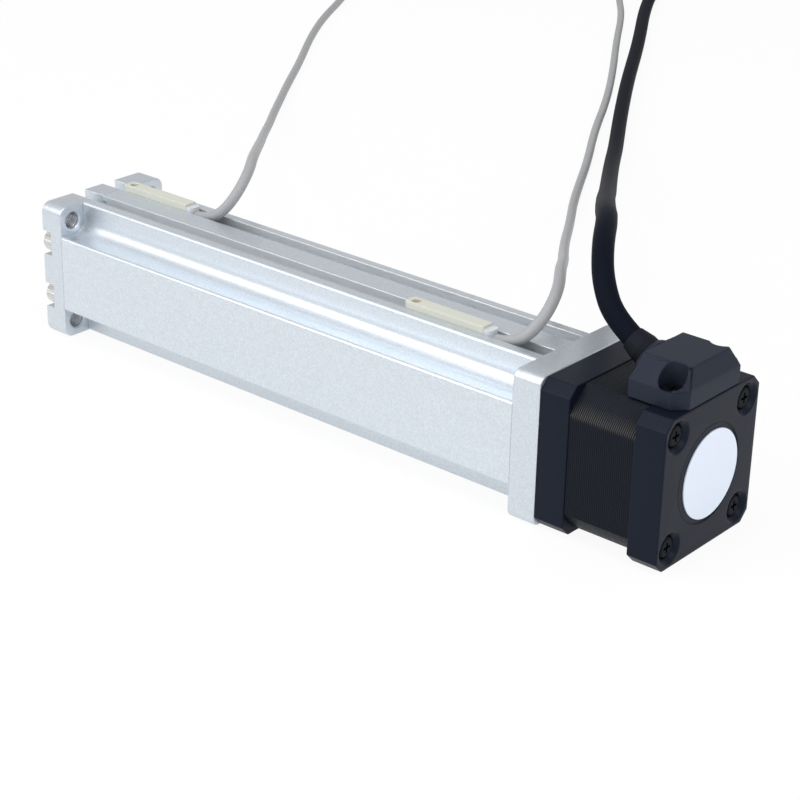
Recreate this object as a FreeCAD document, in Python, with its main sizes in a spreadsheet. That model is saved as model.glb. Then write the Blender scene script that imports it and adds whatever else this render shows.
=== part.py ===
"""Compact electric cylinder: a stepper motor turns a lead screw inside a fluted aluminium
tube, and a keyed piston on the screw's nut pushes a hollow rod out through the rod cover.

Every sub-part is drawn in one station frame: x runs along the axis from the motor's rear
face towards the rod, y to the side that carries no cable, z up, with the axis at y = z = 0.
The last placement moves that frame so that the origin is at the middle of the underside.
All sizes are millimetres and degrees.
"""
import FreeCAD, Part
import math
import os
import re
import Sketcher

doc = FreeCAD.newDocument("ElectricCylinder")
sheet = doc.addObject("Spreadsheet::Sheet", "Sizes")

# Driving dimensions
SIZES = [
    # motor
    ("motor_width", 42.3),
    ("motor_corner", 2.9),
    ("rear_bell_length", 9.1),
    ("stack_length", 20.0),
    ("front_bell_length", 9.2),
    ("stack_inset", 0.35),
    ("stack_round", 25.1),
    ("motor_bolt_pitch", 31.0),
    ("bell_cavity_radius", 17.0),
    ("bell_cavity_depth", 4.1),
    ("pilot_radius", 11.0),
    ("pilot_height", 2.0),
    ("shaft_radius", 2.5),
    ("shaft_reach", 13.0),
    ("rotor_radius", 13.0),
    ("tie_screw_radius", 1.5),
    ("tie_head_radius", 2.8),
    ("tie_head_height", 2.0),
    ("tie_head_depth", 2.8),
    ("tie_mouth_radius", 4.6),
    ("tie_mouth_depth", 1.3),
    ("tie_tip_gap", 1.0),
    ("motor_bearing_radius", 8.0),
    ("motor_bearing_width", 5.0),
    ("motor_race", 1.5),
    ("rear_wall", 1.2),
    ("label_radius", 13.5),
    ("label_thickness", 0.3),
    # cable housing on the motor
    ("housing_inset", 0.2),
    ("housing_length", 16.3),
    ("housing_width", 29.4),
    ("housing_base_height", 4.9),
    ("housing_height", 10.2),
    ("housing_top_width", 17.4),
    ("housing_top_inset", 1.9),
    ("housing_corner", 3.4),
    ("housing_wall", 1.9),
    ("housing_screw_x", 5.7),
    ("housing_screw_y", 11.2),
    ("housing_recess_radius", 3.5),
    ("housing_recess_floor", 2.4),
    ("housing_screw_length", 6.5),
    ("housing_tap_depth", 5.0),
    ("dome_radius", 6.3),
    ("dome_rise", 3.8),
    ("cable_slope", 28.0),
    ("grommet_wall", 1.15),
    ("grommet_reach", 3.8),
    # mounting plate and bearing sleeve
    ("plate_width", 42.6),
    ("plate_thickness", 8.7),
    ("plate_round", 2.6),
    ("coupling_bore", 10.2),
    ("hub_radius", 9.0),
    ("hub_length", 7.6),
    ("hub_start_gap", 4.0),
    ("jaw_length", 4.3),
    ("jaw_relief", 1.5),
    ("spider_wall", 1.2),
    ("bearing_radius", 11.0),
    ("bearing_width", 7.0),
    ("journal_radius", 4.0),
    ("stub_radius", 3.0),
    ("lock_nut_length", 3.3),
    ("lock_nut_radius", 7.5),
    ("retainer_length", 3.5),
    ("retainer_radius", 12.2),
    ("retainer_bore", 7.0),
    ("race", 2.0),
    ("bumper_thickness", 1.6),
    # extruded tube
    ("tube_width", 42.4),
    ("bore_radius", 14.0),
    ("notch_wall", 12.0),
    ("ear_pitch", 32.5),
    ("edge_round", 0.9),
    ("slot_place", 6.2),
    ("slot_opening", 4.7),
    ("slot_lip", 1.6),
    ("slot_width", 6.4),
    ("slot_depth", 5.0),
    ("keyway_width", 4.4),
    ("keyway_depth", 1.8),
    ("port_y", 17.6),
    ("port_z", 8.6),
    ("port_radius", 2.1),
    # rod cover
    ("cover_thickness", 8.4),
    ("cover_round", 3.2),
    ("cover_gap_width", 4.9),
    ("ear_thread_radius", 2.5),
    ("ear_mouth", 0.5),
    ("recess_width", 7.7),
    ("recess_depth", 3.6),
    ("boss_radius", 13.0),
    ("boss_height", 2.5),
    ("spigot_length", 7.5),
    ("bushing_radius", 9.5),
    ("bushing_length", 10.0),
    ("wiper_radius", 11.0),
    ("wiper_length", 5.2),
    # cap screws
    ("cap_radius", 3.5),
    ("cap_height", 4.0),
    ("cap_shank_radius", 2.0),
    ("cap_shank_length", 12.0),
    ("low_cap_radius", 3.0),
    ("low_cap_height", 2.8),
    ("low_cap_depth", 3.2),
    ("flange_cap_radius", 2.75),
    ("flange_cap_height", 3.0),
    ("flange_cap_depth", 3.4),
    ("flange_screw_bite", 4.0),
    # moving line
    ("stroke", 100.0),
    ("screw_radius", 5.0),
    ("screw_run_out", 5.0),
    ("tip_guide_length", 2.5),
    ("tip_guide_wall", 1.5),
    ("piston_radius", 13.4),
    ("piston_length", 26.0),
    ("nut_flange_radius", 10.5),
    ("nut_flange_length", 3.0),
    ("nut_radius", 8.25),
    ("nut_length", 15.0),
    ("clip_length", 1.2),
    ("clip_radius", 11.3),
    ("clip_reach", 1.6),
    ("clip_opening", 5.0),
    ("magnet_length", 4.0),
    ("magnet_floor", 10.8),
    ("wear_ring_length", 5.0),
    ("wear_ring_floor", 12.2),
    ("wear_ring_radius", 13.7),
    ("key_length", 5.0),
    ("rod_radius", 8.0),
    ("rod_bore", 5.5),
    ("rod_reach", 8.4),
    ("rod_flat_width", 14.0),
    ("rod_flat_length", 5.0),
    ("rod_flat_inset", 0.4),
    ("rod_thread_radius", 3.4),
    ("rod_thread_depth", 20.0),
    ("rod_thread_mouth", 0.6),
    # sensors in the tube's slots
    ("sensor_width", 4.4),
    ("sensor_length", 27.4),
    ("sensor_stand", 2.0),
    ("sensor_tail", 2.4),
    ("sensor_screw_radius", 1.25),
    ("sensor_screw_inset", 2.6),
    ("sensor_screw_sunk", 0.9),
    ("window_inset", 0.2),
    ("window_lift", 0.8),
    ("near_sensor_gap", 17.9),
    ("far_sensor_gap", 1.2),
    # cords
    ("lead_radius", 1.65),
    ("cable_radius", 3.0),
    # clearances
    ("fit_gap", 0.05),
    ("slide_gap", 0.15),
    ("turn_gap", 0.3),
    ("end_gap", 0.4),
]

# Places worked out from the driving dimensions
PLACES = {
    "stack_start": "rear_bell_length",
    "front_bell_start": "stack_start + stack_length",
    "motor_front": "front_bell_start + front_bell_length",
    "motor_side": "motor_width / 2",
    "motor_bolt": "motor_bolt_pitch / 2",
    "stack_width": "motor_width - 2 * stack_inset",
    "plate_side": "plate_width / 2",
    "tube_side": "tube_width / 2",
    "tube_start": "motor_front + plate_thickness",
    "hub_a_start": "motor_front + hub_start_gap",
    "hub_a_end": "hub_a_start + hub_length",
    "hub_b_start": "hub_a_end + jaw_length + 2 * slide_gap",
    "hub_b_end": "hub_b_start + hub_length",
    "lock_nut_start": "hub_b_end + end_gap",
    "bearing_start": "lock_nut_start + lock_nut_length",
    "bearing_end": "bearing_start + 2 * bearing_width",
    "retainer_end": "bearing_end + retainer_length",
    "sleeve_end": "retainer_end + end_gap",
    "piston_start": "sleeve_end + bumper_thickness + end_gap",
    "piston_end": "piston_start + piston_length",
    "nut_start": "piston_start + 2 * end_gap + clip_length",
    "nut_end": "nut_start + nut_length",
    "rod_start": "nut_end + slide_gap",
    "magnet_start": "nut_start + nut_flange_length + 2 * end_gap",
    "key_start": "magnet_start + magnet_length + 3 * end_gap",
    "wear_ring_start": "key_start + key_length + 3 * end_gap",
    "spigot_start": "piston_end + stroke + end_gap + bumper_thickness",
    "tube_end": "spigot_start + spigot_length",
    "tube_length": "tube_end - tube_start",
    "cover_front": "tube_end + cover_thickness",
    "boss_front": "cover_front + boss_height",
    "bushing_start": "spigot_start + turn_gap",
    "bushing_end": "bushing_start + bushing_length",
    "wiper_start": "boss_front - wiper_length - turn_gap",
    "screw_tip": "nut_end + stroke + screw_run_out",
    "insert_start": "screw_tip + screw_run_out",
    "rod_tip": "cover_front + rod_reach",
    "ear": "ear_pitch / 2",
    "keyway_floor": "bore_radius + keyway_depth",
    "slot_floor": "tube_side - slot_depth",
    "near_sensor_start": "tube_start + near_sensor_gap",
    "far_sensor_start": "tube_end - far_sensor_gap - sensor_length - sensor_tail",
    "housing_end": "housing_inset + housing_length",
    "housing_base": "motor_side + housing_base_height",
    "housing_top": "motor_side + housing_height",
    "recess_floor": "motor_side + housing_recess_floor",
}

for row, (alias, amount) in enumerate(SIZES, start=1):
    sheet.set(f"A{row}", alias)
    sheet.set(f"B{row}", str(amount))
    sheet.setAlias(f"B{row}", alias)
doc.recompute()
ALIASES = {alias for alias, amount in SIZES}
PIECES = []
WORD = re.compile(r"[a-z][a-z_]*")
# How far a cutting shape runs past the face that it cuts through
OVER = "1"


def spelled_out(text):
    """The formula with every place replaced by the sizes that it comes from."""
    while any(word in PLACES for word in WORD.findall(text)):
        text = WORD.sub(
            lambda word: "(" + PLACES[word.group()] + ")" if word.group() in PLACES else word.group(),
            text,
        )
    return text


def formula(text):
    """The formula as the document reads it, with each size named in the sheet."""
    return WORD.sub(
        lambda word: "Sizes." + word.group() if word.group() in ALIASES else word.group(),
        spelled_out(str(text)),
    )


def value(text):
    """The formula's present value."""
    return float(sheet.evalExpression(spelled_out(str(text))))


def bind(thing, **formulas):
    """Binds properties of an object to formulas; a dot in a property's name is written __."""
    for name, text in formulas.items():
        thing.setExpression(name.replace("__", "."), formula(text))
    return thing


def turned_to_x():
    return FreeCAD.Placement(FreeCAD.Vector(), FreeCAD.Rotation(FreeCAD.Vector(0, 1, 0), 90))


def at(thing, x, y, z):
    return bind(thing, Placement__Base__x=x, Placement__Base__y=y, Placement__Base__z=z)


def cylinder(name, radius, start, length, y="0", z="0"):
    """A round bar along x."""
    bar = doc.addObject("Part::Cylinder", name)
    bar.Placement = turned_to_x()
    bind(bar, Radius=radius, Height=length)
    return at(bar, start, y, z)


def post(name, radius, x, y, z, height):
    """A round bar along z."""
    bar = doc.addObject("Part::Cylinder", name)
    bind(bar, Radius=radius, Height=height)
    return at(bar, x, y, z)


def cone(name, radius_back, radius_front, start, length, y="0", z="0"):
    taper = doc.addObject("Part::Cone", name)
    taper.Placement = turned_to_x()
    bind(taper, Radius1=radius_back, Radius2=radius_front, Height=length)
    return at(taper, start, y, z)


def hexagon(name, across, start, length, y="0", z="0"):
    """A hexagonal bar along x, given its width across the flats."""
    bar = doc.addObject("Part::Prism", name)
    bar.Polygon = 6
    bar.Placement = turned_to_x()
    bind(bar, Circumradius=f"({across}) / sqrt(3)", Height=length)
    return at(bar, start, y, z)


def block(name, x, y, z, length, width, height):
    """A box from its lowest corner."""
    box = doc.addObject("Part::Box", name)
    bind(box, Length=length, Width=width, Height=height)
    return at(box, x, y, z)


def fuse(name, *shapes):
    joined = doc.addObject("Part::MultiFuse", name)
    joined.Shapes = list(shapes)
    return joined


def group(name, solids):
    """Several separate solids that share one sub-part."""
    bundle = doc.addObject("Part::Compound", name)
    bundle.Links = list(solids)
    return bundle


def cut(name, base, *tools):
    taken = doc.addObject("Part::Cut", name)
    taken.Base = base
    taken.Tool = tools[0] if len(tools) == 1 else fuse(name + "Tools", *tools)
    return taken


def common(name, one, other):
    both = doc.addObject("Part::Common", name)
    both.Base = one
    both.Tool = other
    return both


def ring(name, inner, outer, start, length):
    return cut(
        name,
        cylinder(name + "Outer", outer, start, length),
        cylinder(name + "Inner", inner, f"({start}) - {OVER}", f"({length}) + 2 * {OVER}"),
    )


def sketch(body, role, name, station="0"):
    """A sketch on one of the body's own origin planes, moved along that plane's normal."""
    drawing = body.newObject("Sketcher::SketchObject", name)
    plane = next(p for p in body.Origin.OriginFeatures if p.Role == role)
    drawing.AttachmentSupport = [(plane, "")]
    drawing.MapMode = "FlatFace"
    bind(drawing, AttachmentOffset__Base__z=station)
    return drawing


def hold(drawing, geometry, point, across, up):
    """Holds a point of the sketch at a place given by two formulas."""
    for kind, text in (("DistanceX", across), ("DistanceY", up)):
        number = drawing.addConstraint(
            Sketcher.Constraint(kind, -1, 1, geometry, point, value(text))
        )
        drawing.setExpression(f"Constraints[{number}]", formula(text))


def step(before, after):
    """-1, 0 or 1: the way that an outline runs from one value to the next."""
    change = value(after) - value(before)
    return 0 if abs(change) < 1e-6 else int(math.copysign(1, change))


def outline(drawing, corners):
    """A closed outline. A corner is (across, up), or (across, up, radius) where two level or
    upright sides meet in an arc."""
    ends = []
    for i, corner in enumerate(corners):
        across, up = corner[:2]
        if len(corner) == 2:
            ends.append([(across, up)])
            continue
        radius = corner[2]
        last, following = corners[i - 1], corners[(i + 1) % len(corners)]
        ends.append(
            [
                (
                    f"{across} + {step(across, other[0])} * ({radius})",
                    f"{up} + {step(up, other[1])} * ({radius})",
                )
                for other in (last, following)
            ]
        )
    sides = []
    for i, points in enumerate(ends):
        begin, finish = points[-1], ends[(i + 1) % len(ends)][0]
        sides.append(
            drawing.addGeometry(
                Part.LineSegment(
                    FreeCAD.Vector(value(begin[0]), value(begin[1]), 0),
                    FreeCAD.Vector(value(finish[0]), value(finish[1]), 0),
                )
            )
        )
    for i, side in enumerate(sides):
        after = sides[(i + 1) % len(sides)]
        hold(drawing, side, 1, *ends[i][-1])
        points = ends[(i + 1) % len(ends)]
        if len(points) == 1:
            drawing.addConstraint(Sketcher.Constraint("Coincident", side, 2, after, 1))
            continue
        hold(drawing, side, 2, *points[0])
        round_corner(drawing, side, after, points, corners[(i + 1) % len(corners)])


def round_corner(drawing, side, after, points, corner):
    """The arc that joins the end of one side to the start of the next."""
    radius = value(corner[2])
    (x1, y1), (x2, y2) = [(value(across), value(up)) for across, up in points]
    corner_x, corner_y = value(corner[0]), value(corner[1])
    middle = (x1 + x2 - corner_x, y1 + y2 - corner_y)
    start = math.atan2(y1 - middle[1], x1 - middle[0])
    sweep = (math.atan2(y2 - middle[1], x2 - middle[0]) - start) % (2 * math.pi)
    forward = sweep < math.pi
    circle = Part.Circle(FreeCAD.Vector(middle[0], middle[1], 0), FreeCAD.Vector(0, 0, 1), radius)
    if not forward:
        start, sweep = start + sweep, 2 * math.pi - sweep
    arc = drawing.addGeometry(Part.ArcOfCircle(circle, start, start + sweep))
    first, second = (1, 2) if forward else (2, 1)
    drawing.addConstraint(Sketcher.Constraint("Coincident", side, 2, arc, first))
    drawing.addConstraint(Sketcher.Constraint("Coincident", arc, second, after, 1))
    number = drawing.addConstraint(Sketcher.Constraint("Radius", arc, radius))
    drawing.setExpression(f"Constraints[{number}]", formula(corner[2]))


def circles(drawing, places):
    """Circles, each given as (across, up, radius)."""
    for across, up, radius in places:
        centre = FreeCAD.Vector(value(across), value(up), 0)
        number = drawing.addGeometry(
            Part.Circle(centre, FreeCAD.Vector(0, 0, 1), value(radius))
        )
        hold(drawing, number, 3, across, up)
        size = drawing.addConstraint(Sketcher.Constraint("Radius", number, value(radius)))
        drawing.setExpression(f"Constraints[{size}]", formula(radius))


def new_body(name):
    return doc.addObject("PartDesign::Body", name)


def pad(body, drawing, length):
    """Material from the sketch along its normal."""
    feature = body.newObject("PartDesign::Pad", drawing.Name + "Pad")
    feature.Profile = drawing
    return bind(feature, Length=length)


def pocket(body, drawing, length):
    """A cut from the sketch along its normal, which has to take material away."""
    doc.recompute()
    before = body.Shape.Volume
    feature = body.newObject("PartDesign::Pocket", drawing.Name + "Pocket")
    feature.Profile = drawing
    feature.Reversed = True
    bind(feature, Length=length)
    doc.recompute()
    if not body.Shape.Volume < before:
        raise RuntimeError(f"{drawing.Name} cuts nothing")
    return feature


def turned(name, corners):
    """A body of revolution about the axis, from an outline of (station, radius) corners."""
    body = new_body(name)
    drawing = sketch(body, "XZ_Plane", name + "Profile")
    outline(drawing, corners)
    feature = body.newObject("PartDesign::Revolution", name + "Turn")
    feature.Profile = drawing
    feature.ReferenceAxis = (drawing, ["H_Axis"])
    feature.Angle = 360
    return body


def square_corners(half, cut_back=None, radius=None):
    """The corners of a square about the axis, cut straight or rounded."""
    if radius:
        return [(half, half, radius), (f"-({half})", half, radius),
                (f"-({half})", f"-({half})", radius), (half, f"-({half})", radius)]
    short = f"({half}) - ({cut_back})"
    return [
        (half, short), (short, half), (f"-({short})", half), (f"-({half})", short),
        (f"-({half})", f"-({short})"), (f"-({short})", f"-({half})"),
        (short, f"-({half})"), (half, f"-({short})"),
    ]


def four(across, up):
    """The four places at plus and minus two offsets."""
    return [(f"{i} * ({across})", f"{j} * ({up})") for i in (1, -1) for j in (1, -1)]


def piece(thing, label):
    """Names a finished sub-part and moves it from the station frame to the part's frame."""
    if thing.TypeId in ("Part::Box", "Part::Cylinder"):
        thing = group(thing.Name + "Piece", [thing])
    thing.Label = label
    at(thing, "-rod_tip / 2", "0", "plate_side")
    PIECES.append(thing)
    return thing


# Shares of a screw head: the width across its hexagon socket, and the reach and width of a
# cross recess's slots; and shares of a set screw's radius for its slot's width and depth
SOCKET_SHARE = 0.86
CROSS_REACH, CROSS_WIDTH = 0.55, 0.28
SLOT_WIDTH, SLOT_DEPTH = 0.4, 0.6


def cap_screw(name, forward, seat, head_radius, head_height, shank_radius, shank_length, y, z):
    """A socket cap screw along x. seat is the station of the head's underside, and the
    shank runs forward from it, or backward where forward is -1."""
    if forward == 1:
        head_start, shank_start = f"({seat}) - ({head_height})", seat
        socket_start = f"({seat}) - ({head_height})"
    else:
        head_start, shank_start = seat, f"({seat}) - ({shank_length})"
        socket_start = f"({seat}) + ({head_height}) / 2"
    return cut(
        name,
        fuse(
            name + "Body",
            cylinder(name + "Head", head_radius, head_start, head_height, y, z),
            cylinder(name + "Shank", shank_radius, shank_start, shank_length, y, z),
        ),
        hexagon(name + "Socket", f"({head_radius}) * {SOCKET_SHARE}", socket_start,
                f"({head_height}) / 2", y, z),
    )


def cross_slots(name, start, y, z, axis):
    """The two slots of a cross recess in a tie screw's head, half the head deep."""
    bar, deep = f"tie_head_radius * {CROSS_WIDTH}", "tie_head_height / 2"
    span = f"2 * tie_head_radius * {CROSS_REACH}"
    spans = ((span, bar), (bar, span))
    slots = []
    for i, (one, other) in enumerate(spans):
        place = [f"({c}) - ({size}) / 2" for c, size in ((y, one), (z, other))]
        if axis == "x":
            slots.append(block(f"{name}Slot{i}", start, *place, deep, one, other))
        else:
            slots.append(block(f"{name}Slot{i}", *place, start, one, other, deep))
    return slots


# Extruded tube: a square with a round flute down each corner, two slots on top for the
# sensors, a screw port beside each corner of both side walls, and a keyed bore
def slot_corners(middle):
    """The outline of one slot in the top face, from its right lip to its left lip."""
    lip, wide = "slot_opening / 2", "slot_width / 2"
    under = "tube_side - slot_lip"
    return [
        (f"{middle} + {lip}", "tube_side"), (f"{middle} + {lip}", under),
        (f"{middle} + {wide}", under), (f"{middle} + {wide}", "slot_floor"),
        (f"{middle} - {wide}", "slot_floor"), (f"{middle} - {wide}", under),
        (f"{middle} - {lip}", under), (f"{middle} - {lip}", "tube_side"),
    ]


def flute_corners(side, top):
    """One corner of the tube from its side wall to its top or bottom wall."""
    across, up = ("-1 * ", "1 * ")[side > 0], ("-1 * ", "1 * ")[top > 0]
    corners = [
        (across + "tube_side", up + "notch_wall", "edge_round"),
        (across + "notch_wall", up + "notch_wall", "ear - notch_wall"),
        (across + "notch_wall", up + "tube_side", "edge_round"),
    ]
    return corners if side * top > 0 else corners[::-1]


tube = new_body("Tube")
tube_profile = sketch(tube, "YZ_Plane", "TubeProfile", "tube_start")
outline(
    tube_profile,
    flute_corners(1, 1) + slot_corners("slot_place") + slot_corners("-slot_place")
    + flute_corners(-1, 1) + flute_corners(-1, -1) + flute_corners(1, -1),
)
pad(tube, tube_profile, "tube_length")
bore = sketch(tube, "YZ_Plane", "TubeBore", "tube_start")
circles(bore, [("0", "0", "bore_radius")])
pocket(tube, bore, "tube_length")
ports = sketch(tube, "YZ_Plane", "TubePorts", "tube_start")
circles(ports, [(y, z, "port_radius") for y, z in four("port_y", "port_z")])
pocket(tube, ports, "tube_length")
keyway = sketch(tube, "YZ_Plane", "TubeKeyway", "tube_start")
outline(
    keyway,
    [
        ("keyway_width / 2", "-keyway_floor"), ("keyway_width / 2", "0"),
        ("-keyway_width / 2", "0"), ("-keyway_width / 2", "-keyway_floor"),
    ],
)
pocket(tube, keyway, "tube_length")
piece(tube, "cylinder_tube")

# Rod cover: the ears stand out past the flutes, the top has a gap in line with each slot,
# and the four screw recesses break out through the sides
cover = new_body("Cover")
cover_plate = sketch(cover, "YZ_Plane", "CoverPlate", "tube_end")
outline(cover_plate, square_corners("plate_side", radius="cover_round"))
pad(cover, cover_plate, "cover_thickness")
spigot = sketch(cover, "YZ_Plane", "CoverSpigot", "spigot_start")
circles(spigot, [("0", "0", "bore_radius - slide_gap")])
pad(cover, spigot, "spigot_length")
boss = sketch(cover, "YZ_Plane", "CoverBoss", "cover_front")
circles(boss, [("0", "0", "boss_radius")])
pad(cover, boss, "boss_height")
bushing_seat = sketch(cover, "YZ_Plane", "CoverBushingSeat", "spigot_start")
circles(bushing_seat, [("0", "0", "bushing_radius")])
pocket(cover, bushing_seat, "bushing_end - spigot_start")
rod_hole = sketch(cover, "YZ_Plane", "CoverRodHole", "bushing_end")
circles(rod_hole, [("0", "0", "rod_radius + end_gap")])
pocket(cover, rod_hole, "boss_front - bushing_end")
wiper_seat = sketch(cover, "YZ_Plane", "CoverWiperSeat", "wiper_start")
circles(wiper_seat, [("0", "0", "wiper_radius")])
pocket(cover, wiper_seat, "boss_front - wiper_start")
cover_holes = sketch(cover, "YZ_Plane", "CoverScrewHoles", "tube_end")
circles(
    cover_holes,
    [(y, z, "cap_shank_radius + slide_gap") for y, z in four("port_y", "port_z")]
    + [(y, z, "ear_thread_radius") for y, z in four("ear", "ear")],
)
pocket(cover, cover_holes, "cover_thickness")
recesses = sketch(cover, "YZ_Plane", "CoverRecesses", "cover_front - recess_depth")
circles(recesses, [(y, z, "recess_width / 2") for y, z in four("port_y", "port_z")])
pocket(cover, recesses, "recess_depth")
for name, side, level in (("A", 1, 1), ("B", 1, -1), ("C", -1, 1), ("D", -1, -1)):
    mouth = sketch(cover, "YZ_Plane", "CoverRecessMouth" + name, "cover_front - recess_depth")
    inner, outer = f"{side} * port_y", f"{side} * (plate_side + end_gap)"
    low = f"{level} * port_z - recess_width / 2"
    high = f"{level} * port_z + recess_width / 2"
    outline(mouth, [(inner, low), (outer, low), (outer, high), (inner, high)])
    pocket(cover, mouth, "recess_depth")
for name, middle in (("Near", "slot_place"), ("Far", "-slot_place")):
    gap = sketch(cover, "YZ_Plane", "CoverGap" + name, "tube_end")
    right, left = f"{middle} + cover_gap_width / 2", f"{middle} - cover_gap_width / 2"
    over = "plate_side + end_gap"
    outline(gap, [(right, "slot_floor"), (right, over), (left, over), (left, "slot_floor")])
    pocket(cover, gap, "cover_thickness")
ear_mouths = [
    cone(f"EarMouth{i}", "ear_thread_radius + ear_mouth", "ear_thread_radius", "tube_end",
         "ear_mouth", y, z)
    for i, (y, z) in enumerate(four("ear", "ear"))
]
piece(cut("CoverFinished", cover, *ear_mouths), "rod_cover")

cover_screws = [
    cap_screw(f"CoverScrew{i}", -1, "cover_front - recess_depth", "cap_radius", "cap_height",
              "cap_shank_radius", "cap_shank_length", y, z)
    for i, (y, z) in enumerate(four("port_y", "port_z"))
]
piece(group("CoverScrews", cover_screws), "rod_cover_screws")
piece(
    ring("Bushing", "rod_radius + slide_gap", "bushing_radius", "bushing_start", "bushing_length"),
    "rod_bushing",
)
piece(
    turned(
        "Wiper",
        [
            ("wiper_start", "wiper_radius"), ("wiper_start", "rod_radius + turn_gap + end_gap"),
            ("wiper_start + wiper_length / 2", "rod_radius + turn_gap + end_gap"),
            ("wiper_start + wiper_length", "rod_radius + slide_gap"),
            ("wiper_start + wiper_length", "wiper_radius"),
        ],
    ),
    "rod_wiper",
)
piece(
    ring("FrontBumper", "rod_radius + 2 * end_gap", "piston_radius - end_gap",
         "spigot_start - bumper_thickness", "bumper_thickness"),
    "front_bumper",
)

# Motor mount: the square plate with the bearing sleeve that reaches into the tube
mount = new_body("Mount")
mount_plate = sketch(mount, "YZ_Plane", "MountPlate", "motor_front")
outline(mount_plate, square_corners("plate_side", radius="plate_round"))
pad(mount, mount_plate, "plate_thickness")
sleeve = sketch(mount, "YZ_Plane", "MountSleeve", "tube_start")
circles(sleeve, [("0", "0", "bore_radius - slide_gap")])
pad(mount, sleeve, "sleeve_end - tube_start")
for name, start, finish, radius in (
    ("Pilot", "motor_front", "motor_front + pilot_height + end_gap", "pilot_radius + fit_gap"),
    ("Coupling", "motor_front", "bearing_start", "coupling_bore"),
    ("Bearings", "bearing_start", "sleeve_end", "bearing_radius"),
    ("Retainer", "bearing_end", "sleeve_end", "retainer_radius"),
):
    hole = sketch(mount, "YZ_Plane", "Mount" + name, start)
    circles(hole, [("0", "0", radius)])
    pocket(mount, hole, f"({finish}) - ({start})")
mount_holes = sketch(mount, "YZ_Plane", "MountScrewHoles", "motor_front")
circles(
    mount_holes,
    [(y, z, "cap_shank_radius + slide_gap") for y, z in four("port_y", "port_z")]
    + [(y, z, "tie_screw_radius + slide_gap") for y, z in four("motor_bolt", "motor_bolt")],
)
pocket(mount, mount_holes, "plate_thickness")
tube_recesses = sketch(mount, "YZ_Plane", "MountTubeRecesses", "motor_front")
circles(tube_recesses, [(y, z, "low_cap_radius + slide_gap") for y, z in four("port_y", "port_z")])
pocket(mount, tube_recesses, "low_cap_depth")
flange_recesses = sketch(mount, "YZ_Plane", "MountFlangeRecesses", "tube_start - flange_cap_depth")
circles(
    flange_recesses,
    [(y, z, "flange_cap_radius + slide_gap") for y, z in four("motor_bolt", "motor_bolt")],
)
pocket(mount, flange_recesses, "flange_cap_depth")
piece(mount, "motor_mount")

mount_screws = [
    cap_screw(f"MountScrew{i}", 1, "motor_front + low_cap_depth", "low_cap_radius",
              "low_cap_height", "cap_shank_radius", "cap_shank_length", y, z)
    for i, (y, z) in enumerate(four("port_y", "port_z"))
]
piece(group("MountScrews", mount_screws), "mount_tube_screws")
flange_screws = [
    cap_screw(f"FlangeScrew{i}", -1, "tube_start - flange_cap_depth", "flange_cap_radius",
              "flange_cap_height", "tie_screw_radius", "plate_thickness - flange_cap_depth + flange_screw_bite",
              y, z)
    for i, (y, z) in enumerate(four("motor_bolt", "motor_bolt"))
]
piece(group("FlangeScrews", flange_screws), "motor_flange_screws")


def bearing_outer(name, start, width, outer, inner, shield):
    """An outer ring with a thin shield in each face, set in from the face."""
    sill = "end_gap"
    return turned(
        name,
        [
            (start, outer), (start, inner), (f"{start} + {sill}", inner),
            (f"{start} + {sill}", shield), (f"{start} + 2 * {sill}", shield),
            (f"{start} + 2 * {sill}", inner), (f"{start} + {width} - 2 * {sill}", inner),
            (f"{start} + {width} - 2 * {sill}", shield), (f"{start} + {width} - {sill}", shield),
            (f"{start} + {width} - {sill}", inner), (f"{start} + {width}", inner),
            (f"{start} + {width}", outer),
        ],
    )


thrust_starts = ("bearing_start", "bearing_start + bearing_width")
piece(
    group(
        "ThrustOuter",
        [
            bearing_outer(f"ThrustOuter{i}", start, "bearing_width", "bearing_radius",
                          "bearing_radius - race", "journal_radius + race + turn_gap")
            for i, start in enumerate(thrust_starts)
        ],
    ),
    "thrust_bearing_outer_rings",
)
piece(
    group(
        "ThrustInner",
        [
            ring(f"ThrustInner{i}", "journal_radius", "journal_radius + race", start,
                 "bearing_width")
            for i, start in enumerate(thrust_starts)
        ],
    ),
    "thrust_bearing_inner_rings",
)
piece(
    ring("Retainer", "retainer_bore", "retainer_radius", "bearing_end", "retainer_length"),
    "bearing_retainer",
)
piece(
    ring("RearBumper", "retainer_bore", "piston_radius - end_gap", "sleeve_end",
         "bumper_thickness"),
    "rear_bumper",
)

# Motor: two die-cast bells around the lamination stack, drawn together by four tie screws
front_bell = new_body("FrontBell")
front_bell_block = sketch(front_bell, "YZ_Plane", "FrontBellBlock", "front_bell_start")
outline(front_bell_block, square_corners("motor_side", cut_back="motor_corner"))
pad(front_bell, front_bell_block, "front_bell_length")
pilot = sketch(front_bell, "YZ_Plane", "FrontBellPilot", "motor_front")
circles(pilot, [("0", "0", "pilot_radius")])
pad(front_bell, pilot, "pilot_height")
for name, start, finish, radius in (
    ("Cavity", "front_bell_start", "front_bell_start + bell_cavity_depth", "bell_cavity_radius"),
    ("Seat", "front_bell_start", "motor_front", "motor_bearing_radius"),
    ("ShaftHole", "motor_front", "motor_front + pilot_height", "shaft_radius + end_gap"),
):
    hole = sketch(front_bell, "YZ_Plane", "FrontBell" + name, start)
    circles(hole, [("0", "0", radius)])
    pocket(front_bell, hole, f"({finish}) - ({start})")
front_bell_holes = sketch(front_bell, "YZ_Plane", "FrontBellHoles", "front_bell_start")
circles(
    front_bell_holes,
    [(y, z, "tie_screw_radius + slide_gap") for y, z in four("motor_bolt", "motor_bolt")],
)
pocket(front_bell, front_bell_holes, "front_bell_length")
piece(front_bell, "motor_front_bell")

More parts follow.
